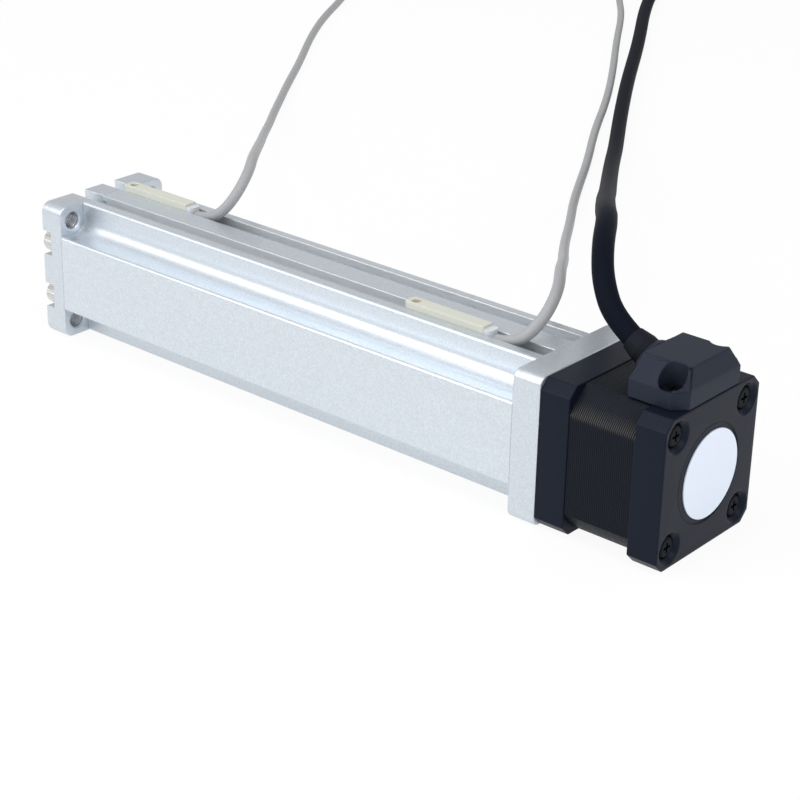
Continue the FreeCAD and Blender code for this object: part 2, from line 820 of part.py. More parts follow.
rear_bell = new_body("RearBell")
rear_bell_block = sketch(rear_bell, "YZ_Plane", "RearBellBlock")
outline(rear_bell_block, square_corners("motor_side", cut_back="motor_corner"))
pad(rear_bell, rear_bell_block, "rear_bell_length")
for name, start, finish, radius in (
    ("Cavity", "rear_bell_length - bell_cavity_depth", "rear_bell_length", "bell_cavity_radius"),
    ("Seat", "rear_wall", "rear_bell_length", "motor_bearing_radius"),
    ("Label", "0", "label_thickness", "label_radius + fit_gap"),
):
    hole = sketch(rear_bell, "YZ_Plane", "RearBell" + name, start)
    circles(hole, [("0", "0", radius)])
    pocket(rear_bell, hole, f"{finish} - ({start})")
rear_bell_holes = sketch(rear_bell, "YZ_Plane", "RearBellHoles")
circles(
    rear_bell_holes,
    [(y, z, "tie_screw_radius + slide_gap") for y, z in four("motor_bolt", "motor_bolt")],
)
pocket(rear_bell, rear_bell_holes, "rear_bell_length")
rear_recesses = sketch(rear_bell, "YZ_Plane", "RearBellRecesses")
circles(
    rear_recesses,
    [(y, z, "tie_head_radius + turn_gap") for y, z in four("motor_bolt", "motor_bolt")],
)
pocket(rear_bell, rear_recesses, "tie_head_depth")
rear_mouths = [
    cone(f"RearMouth{i}", "tie_mouth_radius", "tie_head_radius + turn_gap", "0",
         "tie_mouth_depth", y, z)
    for i, (y, z) in enumerate(four("motor_bolt", "motor_bolt"))
]
housing_taps = [
    post(f"HousingTap{i}", "tie_screw_radius + slide_gap", "housing_screw_x",
         f"{i} * housing_screw_y", "motor_side - housing_tap_depth",
         f"housing_tap_depth + {OVER}")
    for i in (1, -1)
]
piece(cut("RearBellFinished", rear_bell, *rear_mouths, *housing_taps), "motor_rear_bell")

stack_block = common(
    "StackBlock",
    block("StackSquare", "stack_start", "-stack_width / 2", "-stack_width / 2",
          "stack_length", "stack_width", "stack_width"),
    cylinder("StackRound", "stack_round", "stack_start", "stack_length"),
)
stack_holes = [
    cylinder(f"StackHole{i}", "tie_screw_radius + slide_gap", f"stack_start - {OVER}",
             f"stack_length + 2 * {OVER}", y, z)
    for i, (y, z) in enumerate(four("motor_bolt", "motor_bolt"))
]
stack_bore = cylinder("StackBore", "rotor_radius + turn_gap", f"stack_start - {OVER}",
                      f"stack_length + 2 * {OVER}")
piece(cut("Stack", stack_block, stack_bore, *stack_holes), "stator_stack")
winding_reach = "bell_cavity_depth - end_gap"
piece(
    group(
        "Windings",
        [
            ring(f"Winding{i}", "rotor_radius + 2 * end_gap", "bell_cavity_radius - end_gap",
                 start, winding_reach)
            for i, start in enumerate(
                (f"stack_start - ({winding_reach})", "front_bell_start")
            )
        ],
    ),
    "stator_windings",
)

tie_length = (
    "stack_length + rear_bell_length - tie_head_depth + front_bell_length / 2 - tie_tip_gap"
)
tie_screws = []
for i, (y, z) in enumerate(four("motor_bolt", "motor_bolt")):
    name = f"TieScrew{i}"
    seat = "tie_head_depth"
    body = fuse(
        name + "Body",
        cylinder(name + "Head", "tie_head_radius", f"{seat} - tie_head_height",
                 "tie_head_height", y, z),
        cylinder(name + "Shank", "tie_screw_radius", seat, tie_length, y, z),
    )
    tie_screws.append(cut(name, body, *cross_slots(name, f"{seat} - tie_head_height", y, z, "x")))
piece(group("TieScrews", tie_screws), "motor_tie_screws")

motor_bearing_starts = ("rear_wall", "motor_front - motor_bearing_width")
piece(
    group(
        "MotorOuter",
        [
            bearing_outer(f"MotorOuter{i}", start, "motor_bearing_width", "motor_bearing_radius",
                          "motor_bearing_radius - motor_race",
                          "shaft_radius + motor_race + turn_gap")
            for i, start in enumerate(motor_bearing_starts)
        ],
    ),
    "motor_bearing_outer_rings",
)
piece(
    group(
        "MotorInner",
        [
            ring(f"MotorInner{i}", "shaft_radius", "shaft_radius + motor_race", start,
                 "motor_bearing_width")
            for i, start in enumerate(motor_bearing_starts)
        ],
    ),
    "motor_bearing_inner_rings",
)
piece(
    ring("Rotor", "shaft_radius", "rotor_radius", "stack_start + slide_gap",
         "stack_length - 2 * slide_gap"),
    "rotor",
)
piece(
    cylinder("Shaft", "shaft_radius", "rear_wall + slide_gap",
             "motor_front + shaft_reach - rear_wall - slide_gap"),
    "motor_shaft",
)
piece(cylinder("Label", "label_radius", "0", "label_thickness"), "label_disc")

# Cable housing: a flat base with cut corners under a tapered top, a deep screw recess in
# each sloping side, and a domed outlet for the cable
def housing_outline(drawing, back, width, corner):
    """The housing's outline seen from above, with its two rear corners cut."""
    half = f"({width}) / 2"
    outline(
        drawing,
        [
            ("housing_end", f"-({half})"), ("housing_end", half),
            (f"({back}) + ({corner})", half), (back, f"({half}) - ({corner})"),
            (back, f"-({half}) + ({corner})"), (f"({back}) + ({corner})", f"-({half})"),
        ],
    )


housing = new_body("Housing")
housing_foot = sketch(housing, "XY_Plane", "HousingFoot", "motor_side")
housing_outline(housing_foot, "housing_inset", "housing_width", "housing_corner")
pad(housing, housing_foot, "housing_base_height")
shoulder = sketch(housing, "XY_Plane", "HousingShoulder", "housing_base")
housing_outline(shoulder, "housing_inset", "housing_width", "housing_corner")
crown = sketch(housing, "XY_Plane", "HousingCrown", "housing_top")
housing_outline(crown, "housing_inset + housing_top_inset", "housing_top_width",
                "housing_corner / 8")
taper = housing.newObject("PartDesign::AdditiveLoft", "HousingTaper")
taper.Profile = shoulder
taper.Sections = [crown]
taper.Ruled = True
hollow = sketch(housing, "XY_Plane", "HousingHollow", "motor_side")
inner_half = "housing_screw_y - housing_recess_radius - housing_wall / 2"
outline(
    hollow,
    [
        ("housing_end - housing_wall", f"-({inner_half})"),
        ("housing_end - housing_wall", inner_half),
        ("housing_inset + housing_top_inset + housing_wall", inner_half),
        ("housing_inset + housing_top_inset + housing_wall", f"-({inner_half})"),
    ],
)
pocket(housing, hollow, "housing_height - housing_wall")
screw_recesses = sketch(housing, "XY_Plane", "HousingRecesses", "recess_floor")
circles(
    screw_recesses,
    [("housing_screw_x", f"{i} * housing_screw_y", "housing_recess_radius") for i in (1, -1)],
)
pocket(housing, screw_recesses, "housing_height - housing_recess_floor")
housing_holes = sketch(housing, "XY_Plane", "HousingHoles", "motor_side")
circles(
    housing_holes,
    [("housing_screw_x", f"{i} * housing_screw_y", "tie_screw_radius + slide_gap")
     for i in (1, -1)],
)
pocket(housing, housing_holes, "housing_recess_floor")
dome = doc.addObject("Part::Sphere", "Dome")
bind(dome, Radius="dome_radius")
at(dome, "housing_end + slide_gap", "0", "motor_side + dome_rise")
dome_room = block("DomeRoom", "housing_end - housing_wall", f"-dome_radius - {OVER}",
                  "motor_side", "2 * dome_radius", f"2 * (dome_radius + {OVER})",
                  "2 * dome_radius")


def along_cable(kind, name, along, **sizes):
    """A round shape on the line on which the cable leaves the dome."""
    shape = doc.addObject(kind, name)
    shape.Placement = FreeCAD.Placement(
        FreeCAD.Vector(), FreeCAD.Rotation(FreeCAD.Vector(0, 1, 0), 90)
    )
    bind(shape, Placement__Rotation__Angle="90 - cable_slope", **sizes)
    return at(
        shape, f"housing_end + slide_gap + ({along}) * cos(cable_slope)", "0",
        f"motor_side + dome_rise + ({along}) * sin(cable_slope)",
    )


piece(
    cut("HousingFinished", fuse("HousingWithDome", housing, common("DomeHalf", dome, dome_room)),
        along_cable("Part::Cylinder", "CableHole", "0", Radius="cable_radius + grommet_wall + fit_gap",
                    Height=f"dome_radius + {OVER}")),
    "cable_housing",
)
grommet_root = "dome_radius / 2"
piece(
    cut(
        "Grommet",
        fuse(
            "GrommetBody",
            along_cable("Part::Cylinder", "GrommetStem", grommet_root,
                        Radius="cable_radius + grommet_wall", Height="dome_radius / 2"),
            along_cable("Part::Cone", "GrommetTaper", "dome_radius",
                        Radius1="cable_radius + grommet_wall",
                        Radius2="cable_radius + grommet_wall / 3", Height="grommet_reach"),
        ),
        along_cable("Part::Cylinder", "GrommetBore", "0", Radius="cable_radius + fit_gap",
                    Height=f"dome_radius + grommet_reach + {OVER}"),
    ),
    "cable_grommet",
)
housing_screws = []
for i in (1, -1):
    name = "HousingScrew" + ("Near" if i == 1 else "Far")
    y = f"{i} * housing_screw_y"
    body = fuse(
        name + "Body",
        post(name + "Head", "tie_head_radius", "housing_screw_x", y, "recess_floor",
             "tie_head_height"),
        post(name + "Shank", "tie_screw_radius", "housing_screw_x", y,
             "recess_floor - housing_screw_length", "housing_screw_length"),
    )
    top = "recess_floor + tie_head_height / 2"
    housing_screws.append(cut(name, body, *cross_slots(name, top, "housing_screw_x", y, "z")))
piece(group("HousingScrews", housing_screws), "cable_housing_screws")

# Coupling: two hubs with two jaws each, and a soft star between them
def jaws(name, start, first):
    """Two opposite jaws, each a wedge of a round bar, as one tool shape."""
    wedges = []
    for i in (0, 1):
        wedge = doc.addObject("Part::Cylinder", f"{name}{i}")
        wedge.Placement = FreeCAD.Placement(
            FreeCAD.Vector(), FreeCAD.Rotation(FreeCAD.Vector(0, 1, 0), 90)
        ) * FreeCAD.Placement(
            FreeCAD.Vector(), FreeCAD.Rotation(FreeCAD.Vector(0, 0, 1), first + 180 * i)
        )
        wedge.Angle = JAW_ANGLE
        bind(wedge, Radius="hub_radius", Height="jaw_length")
        wedges.append(at(wedge, start, "0", "0"))
    return wedges


JAW_ANGLE = 42
ARM_PLAY = 3
hub_a = cut(
    "HubA",
    fuse("HubABody", cylinder("HubADisc", "hub_radius", "hub_a_start", "hub_length"),
         *jaws("HubAJaw", "hub_a_end", -JAW_ANGLE / 2)),
    cylinder("HubABore", "shaft_radius", f"hub_a_start - {OVER}", f"hub_length + {OVER}"),
    cylinder("HubACentre", "shaft_radius + jaw_relief", "hub_a_end", f"jaw_length + {OVER}"),
)
piece(hub_a, "coupling_hub_motor")
hub_b = cut(
    "HubB",
    fuse("HubBBody", cylinder("HubBDisc", "hub_radius", "hub_b_start", "hub_length"),
         *jaws("HubBJaw", "hub_b_start - jaw_length", 90 - JAW_ANGLE / 2)),
    cylinder("HubBBore", "stub_radius", f"hub_b_start - {OVER}", f"hub_length + 2 * {OVER}"),
    cylinder("HubBCentre", "shaft_radius + jaw_relief", f"hub_b_start - jaw_length - {OVER}",
             f"jaw_length + {OVER}"),
)
piece(hub_b, "coupling_hub_screw")
spider_start = "hub_a_end + slide_gap"
spider_arms = []
ARM_ANGLE = 90 - JAW_ANGLE - ARM_PLAY
for i in range(4):
    arm = doc.addObject("Part::Cylinder", f"SpiderArm{i}")
    arm.Placement = FreeCAD.Placement(
        FreeCAD.Vector(), FreeCAD.Rotation(FreeCAD.Vector(0, 1, 0), 90)
    ) * FreeCAD.Placement(
        FreeCAD.Vector(), FreeCAD.Rotation(FreeCAD.Vector(0, 0, 1), 90 * i + 45 - ARM_ANGLE / 2)
    )
    arm.Angle = ARM_ANGLE
    bind(arm, Radius="hub_radius", Height="jaw_length")
    spider_arms.append(at(arm, spider_start, "0", "0"))
spider_core = cylinder("SpiderCore", "shaft_radius + spider_wall", spider_start, "jaw_length")
piece(
    cut("Spider", fuse("SpiderBody", spider_core, *spider_arms),
        cylinder("SpiderHole", "shaft_radius + end_gap", f"{spider_start} - {OVER}",
                 f"jaw_length + 2 * {OVER}")),
    "coupling_spider",
)

# Screw line: stub, journal and screw in one bar, held in the bearings by the lock nut
piece(
    turned(
        "LeadScrew",
        [
            ("hub_b_start + slide_gap", "0"), ("hub_b_start + slide_gap", "stub_radius"),
            ("lock_nut_start", "stub_radius"), ("lock_nut_start", "journal_radius"),
            ("bearing_end", "journal_radius"), ("bearing_end", "screw_radius"),
            ("screw_tip - tip_guide_length", "screw_radius"),
            ("screw_tip - tip_guide_length", "screw_radius - tip_guide_wall"),
            ("screw_tip", "screw_radius - tip_guide_wall"), ("screw_tip", "0"),
        ],
    ),
    "lead_screw",
)
piece(
    ring("TipGuide", "screw_radius - tip_guide_wall", "rod_bore - slide_gap", "screw_tip - tip_guide_length",
         "tip_guide_length"),
    "screw_tip_guide",
)
piece(
    turned(
        "LockNut",
        [
            ("lock_nut_start", "journal_radius"), ("lock_nut_start", "lock_nut_radius"),
            ("bearing_start - 2 * end_gap", "lock_nut_radius"),
            ("bearing_start - 2 * end_gap", "journal_radius + race"),
            ("bearing_start", "journal_radius + race"), ("bearing_start", "journal_radius"),
        ],
    ),
    "bearing_lock_nut",
)

# Sliding line: the piston carries the nut, the magnet ring, the wear ring and the key
piston = turned(
    "Piston",
    [
        ("piston_start", "nut_flange_radius + fit_gap"), ("piston_start", "piston_radius"),
        ("magnet_start", "piston_radius"), ("magnet_start", "magnet_floor"),
        ("magnet_start + magnet_length", "magnet_floor"),
        ("magnet_start + magnet_length", "piston_radius"),
        ("wear_ring_start", "piston_radius"), ("wear_ring_start", "wear_ring_floor"),
        ("wear_ring_start + wear_ring_length", "wear_ring_floor"),
        ("wear_ring_start + wear_ring_length", "piston_radius"),
        ("piston_end", "piston_radius"), ("piston_end", "rod_radius + fit_gap"),
        ("nut_end", "rod_radius + fit_gap"), ("nut_end", "nut_radius + fit_gap"),
        ("nut_start + nut_flange_length", "nut_radius + fit_gap"),
        ("nut_start + nut_flange_length", "nut_flange_radius + fit_gap"),
        ("nut_start", "nut_flange_radius + fit_gap"), ("nut_start", "clip_radius"),
        ("nut_start - clip_length", "clip_radius"),
        ("nut_start - clip_length", "nut_flange_radius + fit_gap"),
    ],
)
key_width = "keyway_width - 2 * turn_gap"
key_floor = "wear_ring_floor"
key_height = "keyway_floor - turn_gap - wear_ring_floor"
key_low = "-(keyway_floor - turn_gap)"
key_pocket = block("KeyPocket", "key_start", f"-({key_width}) / 2", f"-piston_radius - {OVER}",
                   "key_length", key_width, f"piston_radius + {OVER} - {key_floor}")
piece(cut("PistonFinished", piston, key_pocket), "piston")
piece(
    block("Key", "key_start", f"-({key_width}) / 2", key_low, "key_length", key_width,
          key_height),
    "guide_key",
)
piece(
    turned(
        "Nut",
        [
            ("nut_start", "screw_radius + turn_gap"), ("nut_start", "nut_flange_radius"),
            ("nut_start + nut_flange_length", "nut_flange_radius"),
            ("nut_start + nut_flange_length", "nut_radius"), ("nut_end", "nut_radius"),
            ("nut_end", "screw_radius + turn_gap"),
        ],
    ),
    "drive_nut",
)
clip_mouth = block("ClipMouth", f"nut_start - clip_length - {OVER}", "0", "-clip_opening / 2",
                   f"clip_length + 2 * {OVER}", f"clip_radius + {OVER}", "clip_opening")
piece(
    cut("Clip", ring("ClipRing", "nut_flange_radius - clip_reach", "clip_radius - fit_gap",
                     "nut_start - clip_length", "clip_length"), clip_mouth),
    "nut_retaining_clip",
)
piece(
    ring("Magnet", "magnet_floor + fit_gap", "piston_radius - fit_gap",
         "magnet_start + fit_gap", "magnet_length - 2 * fit_gap"),
    "magnet_ring",
)
piece(
    ring("WearRing", "wear_ring_floor + fit_gap", "wear_ring_radius",
         "wear_ring_start + fit_gap", "wear_ring_length - 2 * fit_gap"),
    "wear_ring",
)
rod_flats = [
    block("RodFlat" + name, "rod_tip - rod_flat_inset - rod_flat_length", "-rod_radius", low,
          "rod_flat_length", "2 * rod_radius", "rod_radius")
    for name, low in (("Top", "rod_flat_width / 2"), ("Under", "-rod_flat_width / 2 - rod_radius"))
]
piece(
    cut("Rod", ring("RodBar", "rod_bore", "rod_radius", "rod_start", "rod_tip - rod_start"),
        *rod_flats),
    "piston_rod",
)
piece(
    cut(
        "Insert",
        cylinder("InsertBar", "rod_bore - fit_gap", "insert_start", "rod_tip - insert_start"),
        cylinder("InsertThread", "rod_thread_radius", "rod_tip - rod_thread_depth",
                 f"rod_thread_depth + {OVER}"),
        cone("InsertMouth", "rod_thread_radius", "rod_thread_radius + rod_thread_mouth",
             "rod_tip - rod_thread_mouth", "rod_thread_mouth"),
    ),
    "rod_end_insert",
)


# Sensors: a moulded body with a set screw at one end and a clear tail at the other
def sensor(side, start, middle):
    """One sensor in the slot whose middle is given; its lead leaves towards the motor."""
    name = side.capitalize()
    low, half = "slot_floor", "sensor_width / 2"
    body_start = f"{start} + sensor_tail"
    height = "slot_depth + sensor_stand"
    screw_x = f"{body_start} + sensor_length - sensor_screw_inset"
    shell = new_body(name + "Shell")
    drawing = sketch(shell, "XY_Plane", name + "ShellOutline", low)
    outline(
        drawing,
        [
            (body_start, f"{middle} - {half}"), (body_start, f"{middle} + {half}"),
            (f"{body_start} + sensor_length", f"{middle} + {half}", "sensor_width / 5"),
            (f"{body_start} + sensor_length", f"{middle} - {half}", "sensor_width / 5"),
        ],
    )
    pad(shell, drawing, height)
    hole = sketch(shell, "XY_Plane", name + "ShellHole", low)
    circles(hole, [(screw_x, middle, "sensor_screw_radius + fit_gap")])
    pocket(shell, hole, height)
    piece(shell, f"{side}_sensor_body")
    tail = new_body(name + "Tail")
    tail_outline = sketch(tail, "XY_Plane", name + "TailOutline", f"{low} + window_lift")
    right, left = f"{middle} + {half} - window_inset", f"{middle} - {half} + window_inset"
    outline(
        tail_outline,
        [
            (start, right, "sensor_tail / 2"), (start, left, "sensor_tail / 2"),
            (body_start, left), (body_start, right),
        ],
    )
    pad(tail, tail_outline, f"{height} - 2 * window_lift")
    piece(tail, f"{side}_sensor_window")
    bar = post(name + "ScrewBar", "sensor_screw_radius", screw_x, middle, low,
               f"{height} - sensor_screw_sunk")
    slot_width = f"sensor_screw_radius * {SLOT_WIDTH}"
    slot_deep = f"sensor_screw_radius * {SLOT_DEPTH}"
    slot = block(name + "ScrewSlot", f"{screw_x} - sensor_screw_radius",
                 f"{middle} - {slot_width} / 2", f"{low} + {height} - sensor_screw_sunk - {slot_deep}",
                 "2 * sensor_screw_radius", slot_width, slot_deep)
    piece(cut(name + "Screw", bar, slot), f"{side}_sensor_screw")


sensor("near", "near_sensor_start", "slot_place")
sensor("far", "far_sensor_start", "-slot_place")


# Cords: runs joined by tangent arcs through points chosen by hand, in the part's own frame
ARC_SHARE = 0.45


def smoothed(points, name, radius):
    """The wire through the points, each turn an arc that takes ARC_SHARE of its shorter run."""
    spots = [FreeCAD.Vector(*point) for point in points]
    edges, radii, here = [], [], spots[0]
    for before, corner, after in zip(spots, spots[1:], spots[2:]):
        into, away = (corner - before), (after - corner)
        turn = into.getAngle(away)
        reach = ARC_SHARE * min(into.Length, away.Length)
        radii.append(reach / math.tan(turn / 2))
        into.normalize()
        away.normalize()
        start, end = corner - into * reach, corner + away * reach
        bend = corner + (away - into).normalize() * radii[-1] * (1 / math.cos(turn / 2) - 1)
        edges.append(Part.LineSegment(here, start).toShape())
        edges.append(Part.Arc(start, bend, end).toShape())
        here = end
    edges.append(Part.LineSegment(here, spots[-1]).toShape())
    wire = Part.Wire(edges)
    print(f"{name}: length {wire.Length:.1f}, radii in diameters",
          *[f"{bend / (2 * radius):.1f}" for bend in radii])
    return wire


def cord(name, points, radius, label):
    """A plain tube along the cord's route."""
    path = smoothed(points, label, radius)
    first = path.Edges[0]
    heading = first.tangentAt(first.FirstParameter)
    section = Part.Wire(Part.Circle(FreeCAD.Vector(*points[0]), heading, radius).toShape())
    solid = path.makePipeShell([section], True, False)
    share = solid.Volume / (math.pi * radius**2 * path.Length)
    print(f"{label}: volume is {share:.4f} of section times length")
    solid_piece(name, solid, label)


def coil(name, route, turn, mean, radius, label):
    """The closed outer shape of a coil two turns wide and two high. The cord runs into its
    outer turn, which bends away to the side that turn names: -1 right, 1 left."""
    (x1, y1, z1), (x2, y2, z2) = route[-2:]
    heading = FreeCAD.Vector(x2 - x1, y2 - y1, 0).normalize()
    middle = FreeCAD.Vector(x2, y2, 0) + FreeCAD.Vector(-heading.y, heading.x, 0) * turn * (mean + radius)
    outer = Part.makeCylinder(mean + 2 * radius, 4 * radius, middle)
    inner = Part.makeCylinder(mean - 2 * radius, 4 * radius, middle)
    solid_piece(name, outer.cut(inner), label)
    print(f"{label}: middle at {middle.x:.1f}, {middle.y:.1f}")


def solid_piece(name, shape, label, placement=FreeCAD.Placement()):
    """A sub-part whose shape is already in the part's own frame, or is put there."""
    feature = doc.addObject("Part::Feature", name)
    feature.Shape = shape
    feature.Placement = placement
    feature.Label = label
    PIECES.append(feature)


def connector(name, end, before, label):
    """A flat cable connector that lies on the surface: a boot, a body with a latch bar across
    its top, and a nose."""
    pointing = math.degrees(math.atan2(end[1] - before[1], end[0] - before[0]))
    body = Part.makeBox(BODY_LENGTH, BODY_WIDTH, BODY_HEIGHT,
                        FreeCAD.Vector(BOOT_LENGTH, -BODY_WIDTH / 2, 0))
    body = body.makeChamfer(BODY_CHAMFER, [e for e in body.Edges if e.Length == BODY_LENGTH])
    nose = Part.makeBox(NOSE_LENGTH, BODY_WIDTH - 2 * NOSE_STEP, BODY_HEIGHT - 2 * NOSE_STEP,
                        FreeCAD.Vector(BOOT_LENGTH + BODY_LENGTH, NOSE_STEP - BODY_WIDTH / 2, NOSE_STEP))
    latch = Part.makeBox(LATCH_LENGTH, BODY_WIDTH / 2, NOSE_STEP,
                         FreeCAD.Vector(BOOT_LENGTH + NOSE_LENGTH, -BODY_WIDTH / 4, BODY_HEIGHT))
    boot = Part.makeCone(CABLE + NOSE_STEP / 2, BODY_HEIGHT / 2, BOOT_LENGTH,
                         FreeCAD.Vector(0, 0, BODY_HEIGHT / 2), FreeCAD.Vector(1, 0, 0))
    solid = body.fuse([nose, latch, boot]).removeSplitter()
    turn = FreeCAD.Rotation(FreeCAD.Vector(0, 0, 1), pointing)
    solid_piece(name, solid, label, FreeCAD.Placement(FreeCAD.Vector(end[0], end[1], 0), turn))


BOOT_LENGTH, BODY_LENGTH, NOSE_LENGTH, LATCH_LENGTH = 12.0, 20.0, 6.0, 5.0
BODY_WIDTH, BODY_HEIGHT, BODY_CHAMFER, NOSE_STEP = 18.0, 12.0, 1.2, 1.5
LEAD, CABLE = value("lead_radius"), value("cable_radius")
CABLE_ROUTE = [
    (-97.0, 0.0, 49.1), (-87.6, 0.0, 54.1), (-80.0, -3.6, 61.6), (-72.4, -12.2, 67.6),
    (-63.6, -25.0, 69.2), (-52.0, -42.5, 60.5), (-38.0, -66.0, 49.5), (-19.0, -94.5, 35.5),
    (4.5, -127.0, 22.0), (25.0, -156.5, 11.5), (41.5, -182.0, 5.0), (53.0, -200.0, CABLE),
    (66.0, -220.5, CABLE), (84.5, -247.5, CABLE), (107.0, -284.0, CABLE),
    (137.0, -331.0, CABLE), (168.5, -384.5, CABLE), (206.0, -444.0, CABLE),
    (228.5, -489.0, CABLE), (250.0, -530.0, CABLE),
]
CABLE_TAIL = [
    (219.1, -578.6, 3 * CABLE), (203.5, -578.2, 2.8 * CABLE), (188.5, -576.5, 2.4 * CABLE),
    (174.5, -573.6, 2 * CABLE),
]
NEAR_ROUTE = [
    (-54.3, 6.2, 40.9), (-63.1, 6.2, 40.9), (-69.5, 5.5, 46.8), (-71.2, 1.3, 54.2),
    (-67.8, -6.4, 58.5), (-55.0, -19.0, 53.0), (-40.5, -38.0, 44.0), (-23.5, -62.5, 32.0),
    (-4.5, -89.5, 20.0), (13.0, -114.0, 9.5), (25.5, -132.0, 3.4), (34.5, -145.0, LEAD),
    (43.5, -159.0, LEAD), (54.0, -177.5, LEAD), (68.0, -199.5, LEAD), (85.0, -230.0, LEAD),
    (106.0, -263.5, LEAD), (127.5, -302.0, LEAD), (152.0, -341.0, LEAD),
    (179.0, -381.5, LEAD), (206.5, -425.0, LEAD), (228.0, -452.5, LEAD), (247.0, -481.0, LEAD),
]
FAR_ROUTE = [
    (71.0, -6.2, 40.9), (62.1, -6.2, 40.9), (55.8, -7.0, 47.0), (54.5, -11.2, 54.4),
    (58.4, -18.4, 58.3), (72.0, -30.5, 53.0), (91.0, -49.5, 43.5), (115.5, -75.0, 32.5),
    (142.5, -101.5, 19.5), (166.0, -127.0, 9.5), (182.5, -145.0, 3.4), (193.0, -158.5, LEAD),
    (204.5, -173.5, LEAD), (219.0, -195.0, LEAD), (238.0, -220.0, LEAD),
    (260.0, -253.0, LEAD), (284.0, -285.5, LEAD), (304.5, -316.5, LEAD),
    (323.0, -350.5, LEAD), (341.0, -379.0, LEAD),
]
# A coil is wound 12 diameters across in a lead and 11 in the cable
LEAD_COIL, CABLE_COIL = 12 * LEAD, 11 * CABLE
cord("CableTube", CABLE_ROUTE, CABLE, "motor_cable")
coil("CableCoil", CABLE_ROUTE, -1, CABLE_COIL, CABLE, "motor_cable_coil")
cord("CableTailTube", CABLE_TAIL, CABLE, "motor_cable_tail")
connector("CableConnector", CABLE_TAIL[-1], CABLE_TAIL[-2], "motor_connector")
cord("NearLeadTube", NEAR_ROUTE, LEAD, "near_sensor_lead")
coil("NearLeadCoil", NEAR_ROUTE, 1, LEAD_COIL, LEAD, "near_sensor_lead_coil")
cord("FarLeadTube", FAR_ROUTE, LEAD, "far_sensor_lead")
coil("FarLeadCoil", FAR_ROUTE, 1, LEAD_COIL, LEAD, "far_sensor_lead_coil")

doc.recompute()
for thing in doc.Objects:
    if "Invalid" in thing.State or "Error" in thing.State:
        raise RuntimeError(f"{thing.Label} failed: {thing.State}")
os.makedirs("parts", exist_ok=True)
for thing in PIECES:
    shape = thing.Shape
    if shape.isNull() or not shape.isValid():
        raise RuntimeError(f"{thing.Label} has no valid shape")
    shape.exportStep(f"parts/{thing.Label}.step")
print(f"{len(PIECES)} sub-parts, {sum(len(thing.Shape.Solids) for thing in PIECES)} solids")
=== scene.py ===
import bmesh
import bpy
import math
from mathutils import Matrix, Vector
from mathutils.bvhtree import BVHTree


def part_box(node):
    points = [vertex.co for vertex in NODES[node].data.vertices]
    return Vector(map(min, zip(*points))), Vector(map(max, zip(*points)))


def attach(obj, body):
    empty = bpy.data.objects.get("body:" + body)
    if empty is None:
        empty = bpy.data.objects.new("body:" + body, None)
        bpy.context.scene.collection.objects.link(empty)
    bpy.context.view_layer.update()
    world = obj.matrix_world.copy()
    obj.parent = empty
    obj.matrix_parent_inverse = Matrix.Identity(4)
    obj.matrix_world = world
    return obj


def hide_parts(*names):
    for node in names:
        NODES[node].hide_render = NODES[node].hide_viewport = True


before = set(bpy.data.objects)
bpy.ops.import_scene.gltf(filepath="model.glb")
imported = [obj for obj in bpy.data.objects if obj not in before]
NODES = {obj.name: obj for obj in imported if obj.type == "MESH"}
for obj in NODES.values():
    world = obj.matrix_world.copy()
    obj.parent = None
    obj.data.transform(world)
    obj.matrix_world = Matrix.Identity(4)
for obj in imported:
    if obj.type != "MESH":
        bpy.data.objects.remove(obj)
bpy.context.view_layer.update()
MM = 0.001

# Camera: one long lens, behind the motor's near corner and above it. Its place and angles
# come from fitting the cylinder's known edges to the photograph.
CAMERA_PLACE = Vector((-367.0, 415.1, 260.4)) * MM
AZIMUTH, ELEVATION, ROLL = (math.radians(angle) for angle in (40.18, 24.81, 1.25))
LENS, SENSOR = 95.0, 36.0

back = Vector((-math.sin(AZIMUTH) * math.cos(ELEVATION), math.cos(AZIMUTH) * math.cos(ELEVATION),
               math.sin(ELEVATION)))
level = (-back).cross(Vector((0, 0, 1))).normalized()
upright = level.cross(-back)
right = level * math.cos(ROLL) + upright * math.sin(ROLL)
up = upright * math.cos(ROLL) - level * math.sin(ROLL)
camera = bpy.data.objects.new("camera", bpy.data.cameras.new("camera"))
camera.data.lens, camera.data.sensor_width = LENS, SENSOR
camera.data.clip_start = 0.01
camera.matrix_world = Matrix.Translation(CAMERA_PLACE) @ Matrix((right, up, back)).transposed().to_4x4()
bpy.context.scene.collection.objects.link(camera)
bpy.context.scene.camera = camera
bpy.context.scene.view_settings.view_transform = "Standard"


class Wire:
    """An output of a shader node. Arithmetic on it adds Math nodes."""

    def __init__(self, finish, socket):
        self.finish, self.socket = finish, socket

    def math(self, operation, *values):
        return self.finish.node("ShaderNodeMath", {"operation": operation}, dict(enumerate(values)))

    def __add__(self, other):
        return self.math("ADD", self, other)

    def __radd__(self, other):
        return self.math("ADD", other, self)

    def __sub__(self, other):
        return self.math("SUBTRACT", self, other)

    def __rsub__(self, other):
        return self.math("SUBTRACT", other, self)

    def __mul__(self, other):
        return self.math("MULTIPLY", self, other)

    def __rmul__(self, other):
        return self.math("MULTIPLY", other, self)

    def __truediv__(self, other):
        return self.math("DIVIDE", self, other)

    def __pow__(self, other):
        return self.math("POWER", self, other)

    def over(self, threshold):
        return self.math("GREATER_THAN", self, threshold)

    def under(self, threshold):
        return 1 - self.over(threshold)

    def sine(self):
        return self.math("SINE", self)

    def absolute(self):
        return self.math("ABSOLUTE", self)

    def clamp(self):
        return self.finish.node("ShaderNodeClamp", {}, {0: self})


